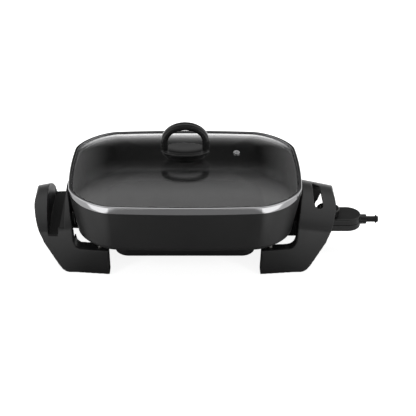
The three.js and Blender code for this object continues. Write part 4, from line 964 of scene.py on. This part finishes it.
# The casing under the pan: a shallow black steel pressing with rolled corners, open at the top,
# with a window for the socket. It covers the heating element, a sheathed tube bent in a loop.
casing_paint = grained("casing_paint", (0.008, 0.008, 0.0085), 0.34, 1300, 0.04, specular=0.35)


def rounded_rectangle(half_x, half_y, radius, height):
    ring = []
    for quarter, (way_x, way_y) in enumerate(((1, -1), (1, 1), (-1, 1), (-1, -1))):
        across, along = way_x * (half_x - radius), way_y * (half_y - radius)
        ring += arc(across, along, radius, 90 * (quarter - 1), 90 * quarter, 12)
    return [(x, y, height) for x, y in ring]


def upright_bars(places, radius, low, high):
    return [round_bar("z", radius, low, high, at=(x, 0, 0)) for x in places]


tray_foot, tray_top = ends("base_casing", "z")
tray_half_x, tray_half_y = (
    ends("base_casing", axis)[1] - middle("base_casing", axis) for axis in "xy"
)
tray_wall, tray_roll, tray_corner = 1.6, 6, 24
tray_line = [
    *arc(tray_roll, tray_roll, tray_roll, 270, 180),
    (0.0, tray_top - tray_foot),
    (tray_wall, tray_top - tray_foot),
    *arc(tray_roll, tray_roll, tray_roll - tray_wall, 180, 270),
]
tray = lofted("casing", [
    rounded_rectangle(
        tray_half_x - inset, tray_half_y - inset, tray_corner - inset, tray_foot + height
    )
    for inset, height in tray_line
])
socket_z = middle("contact_pin_front", "z")
screw_x = middle("casing_screw_right", "x") - pan_x
window_half_y, window_half_z, past_wall = 22, 8, 10
window_x = (tray_half_x - past_wall, tray_half_x + past_wall)
window_z = (socket_z - window_half_z, socket_z + window_half_z)
window = box(*window_x, -window_half_y, window_half_y, *window_z)
tray_bores = upright_bars((-screw_x, screw_x), screw_way, tray_foot - 5, tray_foot + 5)
carve(tray, "DIFFERENCE", window, *tray_bores)
dress(tidy(to_frame(tray)), casing_paint)
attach(tray, "skillet")
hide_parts("base_casing")
sheath_metal = speckled_metal("sheath_metal", (0.1, 0.092, 0.085), 0.5, 0.2)
refined("element", "heating_element", 0.6, 6, sheath_metal, "skillet")

# The socket on the pan: two turned pins in a black moulded guard that is screwed up to the pan.
# Its mouth is open to the end and its edges are rounded.
pin_radius, pin_nose = 2.4, 1.4
for side in ("front", "rear"):
    node = f"contact_pin_{side}"
    back, tip = ends(node, "x")
    pin_section = [
        (0, back),
        (pin_radius - eased, back),
        (pin_radius, back + eased),
        *arc(0, tip - pin_nose, pin_radius, 0, 90, 5, pin_nose),
    ]
    pin_at = (0, middle(node, "y"), socket_z)
    pin = turned(f"pin_{side}", pin_section, plated_steel, at=pin_at, along="x")
    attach(pin, "skillet")
    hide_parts(f"contact_pin_{side}")
refined("guard", "socket_guard", 0.8, 2, leg_plastic, "skillet")

# The probe: two black shells, D-shaped in plan, that close round the cord's relief. Its nose
# carries two brass contact sleeves and the steel sensor rod that reaches under the pan.
probe_plastic = grained("probe_plastic", (0.007, 0.007, 0.007), 0.3, 1000, 0.04, specular=0.45)
half_width, shell_edge, shell_wall, collar = 25, 2.2, 2.5, 8.7
post, boss, head_way, shaft_way, sleeve_way, rod_way = 3.8, 6.5, 4.3, 3.3, 3.9, 3.5
nose_half_y, nose_half_z, sleeve_room, flange_room = 22, 6, 5.6, 7.7
shell_length, above_axis, below_axis, half_play, past_probe = 95.5, 11.5, 11.8, 0.15, 40
into_wall, head_depth, rod_depth, sleeve_depth = 1.2, 5.1, 12.3, 20.3
back_x = ends("probe_upper_housing", "x")[0] - pan_x
tip_x = back_x + shell_length
collar_ends = (tip_x - 12.5, tip_x + 10.2)
axis_z = middle("sensor_rod", "z")
shell_top, shell_foot = axis_z + above_axis, axis_z - below_axis
upper_split, lower_split = axis_z + half_play, axis_z - half_play


def plan(inset, height):
    half = half_width - inset
    ring = [(back_x + inset, -half), *arc(tip_x - half_width, 0, half, -90, 90, 48)]
    return [(x, y, height) for x, y in [*ring, (back_x + inset, half)]]


def along_x(radius, low, high, y=0.0, steps=32):
    return round_bar("x", radius, low, high, (0, y, axis_z), steps)


def shell_of(name, edge, split, way):
    rounding = arc(shell_edge, edge - way * shell_edge, shell_edge, 90, 180, 6, way * shell_edge)
    rings = [plan(inset, height) for inset, height in rounding]
    shell = lofted(name, [*rings, plan(0.35, split + way * 0.35), plan(0.6, split)])
    carve(shell, "UNION", along_x(collar, *collar_ends, steps=64))
    low, high = sorted((split, split - way * past_probe))
    half_space = box(back_x - past_probe, tip_x + past_probe, -past_probe, past_probe, low, high)
    inside = [plan(shell_wall, height) for height in (split - way * 5, edge - way * shell_wall)]
    carve(shell, "DIFFERENCE", half_space)
    return carve(shell, "DIFFERENCE", lofted("room", inside))


# Room for the strain relief's sleeve and for its flange
def relief_room():
    room_from, room_to, flange_end = tip_x - 20, tip_x + 20, tip_x - 6.7
    sleeve = along_x(sleeve_room, room_from, room_to, steps=48)
    return sleeve, along_x(flange_room, room_from, flange_end, steps=48)


screws_x = [back_x + 13, tip_x - 19.5]
dial_x = back_x + 37
upper = shell_of("shell_upper", shell_top, upper_split, 1)
carve(upper, "UNION", *upright_bars(screws_x, post, upper_split, shell_top - into_wall))
cuts = [*relief_room(), *upright_bars([dial_x], shaft_way, axis_z, shell_top + 10)]
cuts += upright_bars(screws_x, screw_way, axis_z - 9, shell_top - shell_wall)
carve(upper, "DIFFERENCE", *cuts)
smoothed(to_frame(upper), 0.6, 3, probe_plastic)
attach(upper, "probe")
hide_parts("probe_upper_housing")

lower = shell_of("shell_lower", shell_foot, lower_split, -1)
posts = upright_bars(screws_x, boss, shell_foot + into_wall, lower_split)
nose_x, nose_sides, nose_foot = back_x - 28, (-nose_half_y, nose_half_y), axis_z - nose_half_z
nose = box(nose_x, back_x - 0.3, *nose_sides, nose_foot, axis_z + nose_half_z)
tongue = box(back_x - 10, back_x + shell_wall, *nose_sides, nose_foot, lower_split)
carve(lower, "UNION", *posts, nose, tongue)
cuts = [*relief_room(), along_x(rod_way, nose_x - 10, nose_x + rod_depth)]
for side in ("front", "rear"):
    sleeve_y = middle(f"contact_sleeve_{side}", "y")
    cuts.append(along_x(sleeve_way, nose_x - 10, nose_x + sleeve_depth, sleeve_y))
for x in screws_x:
    for radius, top in ((head_way, shell_foot + head_depth), (screw_way, axis_z + 10)):
        cuts.append(round_bar("z", radius, shell_foot - 10, top, at=(x, 0, 0)))
carve(lower, "DIFFERENCE", *cuts)
smoothed(to_frame(lower), 0.6, 3, probe_plastic)
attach(lower, "probe")
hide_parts("probe_lower_housing")

rod_from, rod_to = ends("sensor_rod", "x")
rod_radius, rod_nose = 3.2, 2.4
rod_section = [
    *arc(0, rod_from + rod_nose, rod_radius, -90, 0, 6, rod_nose),
    (rod_radius, rod_to - eased),
    (rod_radius - eased, rod_to),
    (0, rod_to),
]
rod = turned("sensor", rod_section, plated_steel, at=(0, 0, axis_z), along="x")
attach(rod, "probe")
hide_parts("sensor_rod")
sleeve_brass = speckled_metal("sleeve_brass", (0.42, 0.28, 0.1), 0.3, 0.15)
sleeve_in, sleeve_out = 2.7, 3.6
for side in ("front", "rear"):
    node = f"contact_sleeve_{side}"
    near, far = ends(node, "x")
    sleeve_section = [
        (sleeve_in, near + 0.5),
        (sleeve_out - 0.4, near),
        (sleeve_out - 0.1, near + 0.15),
        (sleeve_out, near + 0.4),
        (sleeve_out, far - eased),
        (sleeve_out - eased, far),
        (sleeve_in, far),
        (sleeve_in, near + 0.5),
    ]
    sleeve_at = (0, middle(node, "y"), axis_z)
    sleeve = turned(f"contact_{side}", sleeve_section, sleeve_brass, at=sleeve_at, along="x")
    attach(sleeve, "probe")
    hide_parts(f"contact_sleeve_{side}")

# The cord's strain relief: one rubber moulding with a flange held in the shells, a tapered
# sleeve, and a ring near its end. It is hollow where the cord would go in.
inner, outer = ends("strain_relief", "x")
ring_from, cord_end, cord_way = outer - 5.1, outer - 14, 3.4
relief_section = [
    (0, inner),
    (7.1, inner),
    (7.4, inner + 0.3),
    (7.4, inner + 2.2),
    (7.1, inner + 2.5),
    (5.3, inner + 2.5),
    (5.3, inner + 20),
    (5.15, inner + 26),
    (5.15, ring_from - 0.4),
    (5.4, ring_from),
    (6.9, ring_from + 0.2),
    (7.3, ring_from + 0.7),
    (7.3, ring_from + 1.7),
    (6.9, ring_from + 2.2),
    (5.5, ring_from + 2.5),
    (5.2, outer - 0.7),
    (4.8, outer - 0.1),
    (4.3, outer),
    (cord_way + 0.3, outer - 0.2),
    (cord_way, outer - 0.8),
    (cord_way, cord_end),
    (0, cord_end),
]
relief = turned("relief", relief_section, soft_rubber, at=(0, 0, axis_z), along="x", sharp=50)
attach(relief, "probe")
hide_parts("strain_relief")

# The dial: a black disc with a fluted edge and a pressed index line, on a plated shaft that a
# collar holds under the cover. Plain ticks are printed round its top.
dial_foot, dial_top = ends("temperature_dial", "z")
dial_at = (dial_x + pan_x, 0, 0)
dial_section = [
    (0, dial_foot),
    (19.0, dial_foot),
    (19.8, dial_foot + 0.4),
    (20.1, dial_foot + 1.2),
    (20.4, dial_foot + 1.6),
    (20.5, dial_foot + 2.4),
    (20.3, dial_top - 2.4),
    (20.0, dial_top - 1.4),
    (19.4, dial_top - 0.6),
    (18.6, dial_top - 0.1),
    (17.8, dial_top),
    (16.6, dial_top - 0.1),
    (15.9, dial_top - 0.5),
    (14.0, dial_top - 0.7),
    (0, dial_top - 0.7),
]
fluting = {"Steps": 336, "Flutes": 28.0, "Flute depth": 0.7 * mm, "Flutes from radius": 20.15 * mm}
dial = turned("dial", dial_section, probe_plastic, at=dial_at, **fluting)
notch_half, notch_reach, notch_z = 0.8, (10, 18.8), (dial_top - 1.3, dial_top + 4)
notch = box(dial_x - notch_half, dial_x + notch_half, *notch_reach, *notch_z)
shaft_room = round_bar("z", shaft_way, dial_foot - 5, dial_foot + 7.3, at=(dial_x, 0, 0))
carve(dial, "DIFFERENCE", to_frame(notch), to_frame(shaft_room))
dress(tidy(dial), probe_plastic)
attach(dial, "dial")
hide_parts("temperature_dial")
low, high = ends("dial_shaft", "z")
shaft_radius, shaft_collar, collar_top = 3.0, 5.5, shell_top - shell_wall - eased
shaft_section = [
    (0, low),
    (shaft_radius - 0.4, low),
    (shaft_radius, low + 0.4),
    (shaft_radius, collar_top - 2.5),
    (shaft_collar, collar_top - 2.5),
    (shaft_collar, collar_top),
    (shaft_radius, collar_top),
    (shaft_radius, high - eased),
    (shaft_radius - eased, high),
    (0, high),
]
shaft = turned("shaft", shaft_section, plated_steel, at=dial_at)
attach(shaft, "dial")
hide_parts("dial_shaft")


def copies_at(tree, points, form, turns=None):
    copies = tree.nodes.new("GeometryNodeInstanceOnPoints")
    for label, source in (("Points", points), ("Instance", form), ("Rotation", turns)):
        if source is not None:
            tree.links.new(source, copies.inputs[label])
    return copies.outputs[0]


marks_tree, given = new_tree("ring of marks", "GeometryNodeTree", (
    ("Mark", "Geometry"),
    ("Count", "Int", 15),
    ("Radius", "Float", 17 * mm),
    ("First turn", "Float", 0.0),
    ("Turn between", "Float", 0.3),
    ("Finish", "Material"),
), (("Marked", "Geometry"),))
order = marks_tree.nodes.new("GeometryNodeInputIndex").outputs[0]
turn = calc(marks_tree, "MULTIPLY", order, given["Turn between"])
turn = calc(marks_tree, "ADD", turn, given["First turn"])
spot_x, spot_y = (
    calc(marks_tree, "MULTIPLY", calc(marks_tree, way, turn), given["Radius"])
    for way in ("COSINE", "SINE")
)
line = add(marks_tree, "GeometryNodeMeshLine", given["Count"]).outputs[0]
spots = add(marks_tree, "ShaderNodeCombineXYZ", spot_x, spot_y, 0.0).outputs[0]
ring = add(marks_tree, "GeometryNodeSetPosition", line, None, spots).outputs[0]
turns = add(marks_tree, "ShaderNodeCombineXYZ", 0.0, 0.0, turn).outputs[0]
finish_tree(marks_tree, given, copies_at(marks_tree, ring, given["Mark"], turns))

pale_print = grained("pale_print", (0.42, 0.42, 0.41), 0.5, 1500, 0.02)
tick_half_long, tick_half_wide, tick_turn = 1.3, 0.22, math.radians(20)
tick_sides = (-tick_half_long, tick_half_long, -tick_half_wide, tick_half_wide)
stroke = to_frame(box(*tick_sides, dial_top - 0.75, dial_top - 0.58), x=0)
marks = run_tree("dial_marks", stroke.data, marks_tree, {
    "Finish": pale_print,
    "Count": 15,
    "Radius": 13.2 * mm,
    "First turn": tick_turn,
    "Turn between": tick_turn,
})
bpy.data.objects.remove(stroke)
moved(marks, dial_at)
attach(marks, "dial")

# The screws: plated steel, pan-headed with a cross recess and a cut thread. They hold the legs,
# brackets, guard and casing to the pan, the knob to the glass, with a soft washer between, and
# the probe's shells together.
screws_tree, given = new_tree("set of screws", "GeometryNodeTree", (
    ("Places", "Geometry"), ("Screw", "Object"), ("Finish", "Material"),
), (("Set", "Geometry"),))
pattern = add(screws_tree, "GeometryNodeObjectInfo", given["Screw"]).outputs["Geometry"]
finish_tree(screws_tree, given, copies_at(screws_tree, given["Places"], pattern))


def one_screw(length, head, height, shank):
    section = [
        (0, 0),
        (head * 0.45, 0.03),
        (head * 0.72, 0.25),
        (head * 0.92, height * 0.36),
        (head, height * 0.62),
        (head, height - 0.15),
        (head - 0.15, height),
        (shank, height),
    ]
    pitch, thread = 0.8, height + 0.6
    while thread < length - 2 * pitch:
        section += [(shank, thread), (shank * 0.84, thread + pitch / 2)]
        thread += pitch
    section += [(shank * 0.9, length - 1.2), (shank * 0.5, length), (0, length)]
    screw = turned("screw", section, plated_steel, **{"Steps": 24})
    for wide, deep in ((head * 0.55, 0.5), (0.5, head * 0.55)):
        recess = box(-wide, wide, -deep, deep, -1, height * 0.5)
        carve(screw, "DIFFERENCE", to_frame(recess, x=0))
    return tidy(screw)


def set_of_screws(name, body, nodes, axis="z", way=1, head=4.0, height=2.6, shank=2.0):
    boxes = [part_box(node) for node in nodes]
    low, high = boxes[0]
    screw = one_screw(getattr(high - low, axis) / mm, head, height, shank)
    if axis == "x":
        screw.data.transform(Matrix.Rotation(way * math.pi / 2, 4, "Y"))
    places = []
    for low, high in boxes:
        place = (low + high) / 2
        setattr(place, axis, getattr(low if way > 0 else high, axis))
        places.append(tuple(place))
    spots = bpy.data.meshes.new(name)
    spots.from_pydata(places, [], [])
    screws = run_tree(name, spots, screws_tree, {"Screw": screw, "Finish": plated_steel})
    bpy.data.objects.remove(screw)
    shade(screws, 30)
    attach(screws, body)
    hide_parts(*nodes)


set_of_screws("screws_leg", "skillet", [f"leg_screw_{corner}" for corner in corners])
set_of_screws("screws_casing", "skillet", ["casing_screw_left", "casing_screw_right"])
set_of_screws("screws_guard", "skillet", ["guard_screw_front", "guard_screw_rear"])
for side, way in (("left", 1), ("right", -1)):
    pair = [f"side_screw_{side}_front", f"side_screw_{side}_rear"]
    set_of_screws(f"screws_bracket_{side}", "skillet", pair, axis="x", way=way)
set_of_screws("screws_shell", "probe", ["housing_screw_inner", "housing_screw_outer"])
set_of_screws("screw_knob", "lid", ["knob_screw"], head=6.0, height=2.8, shank=2.5)
washer_out, soft_edge = 9, 0.4
washer_ends = ends("knob_washer", "z")
washer_section = ring_section(knob_screw_way, washer_out, *washer_ends, soft_edge)
washer = turned("washer", washer_section, soft_rubber, at=(pan_x, 0, 0))
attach(washer, "lid")
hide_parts("knob_washer")

low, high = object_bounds()
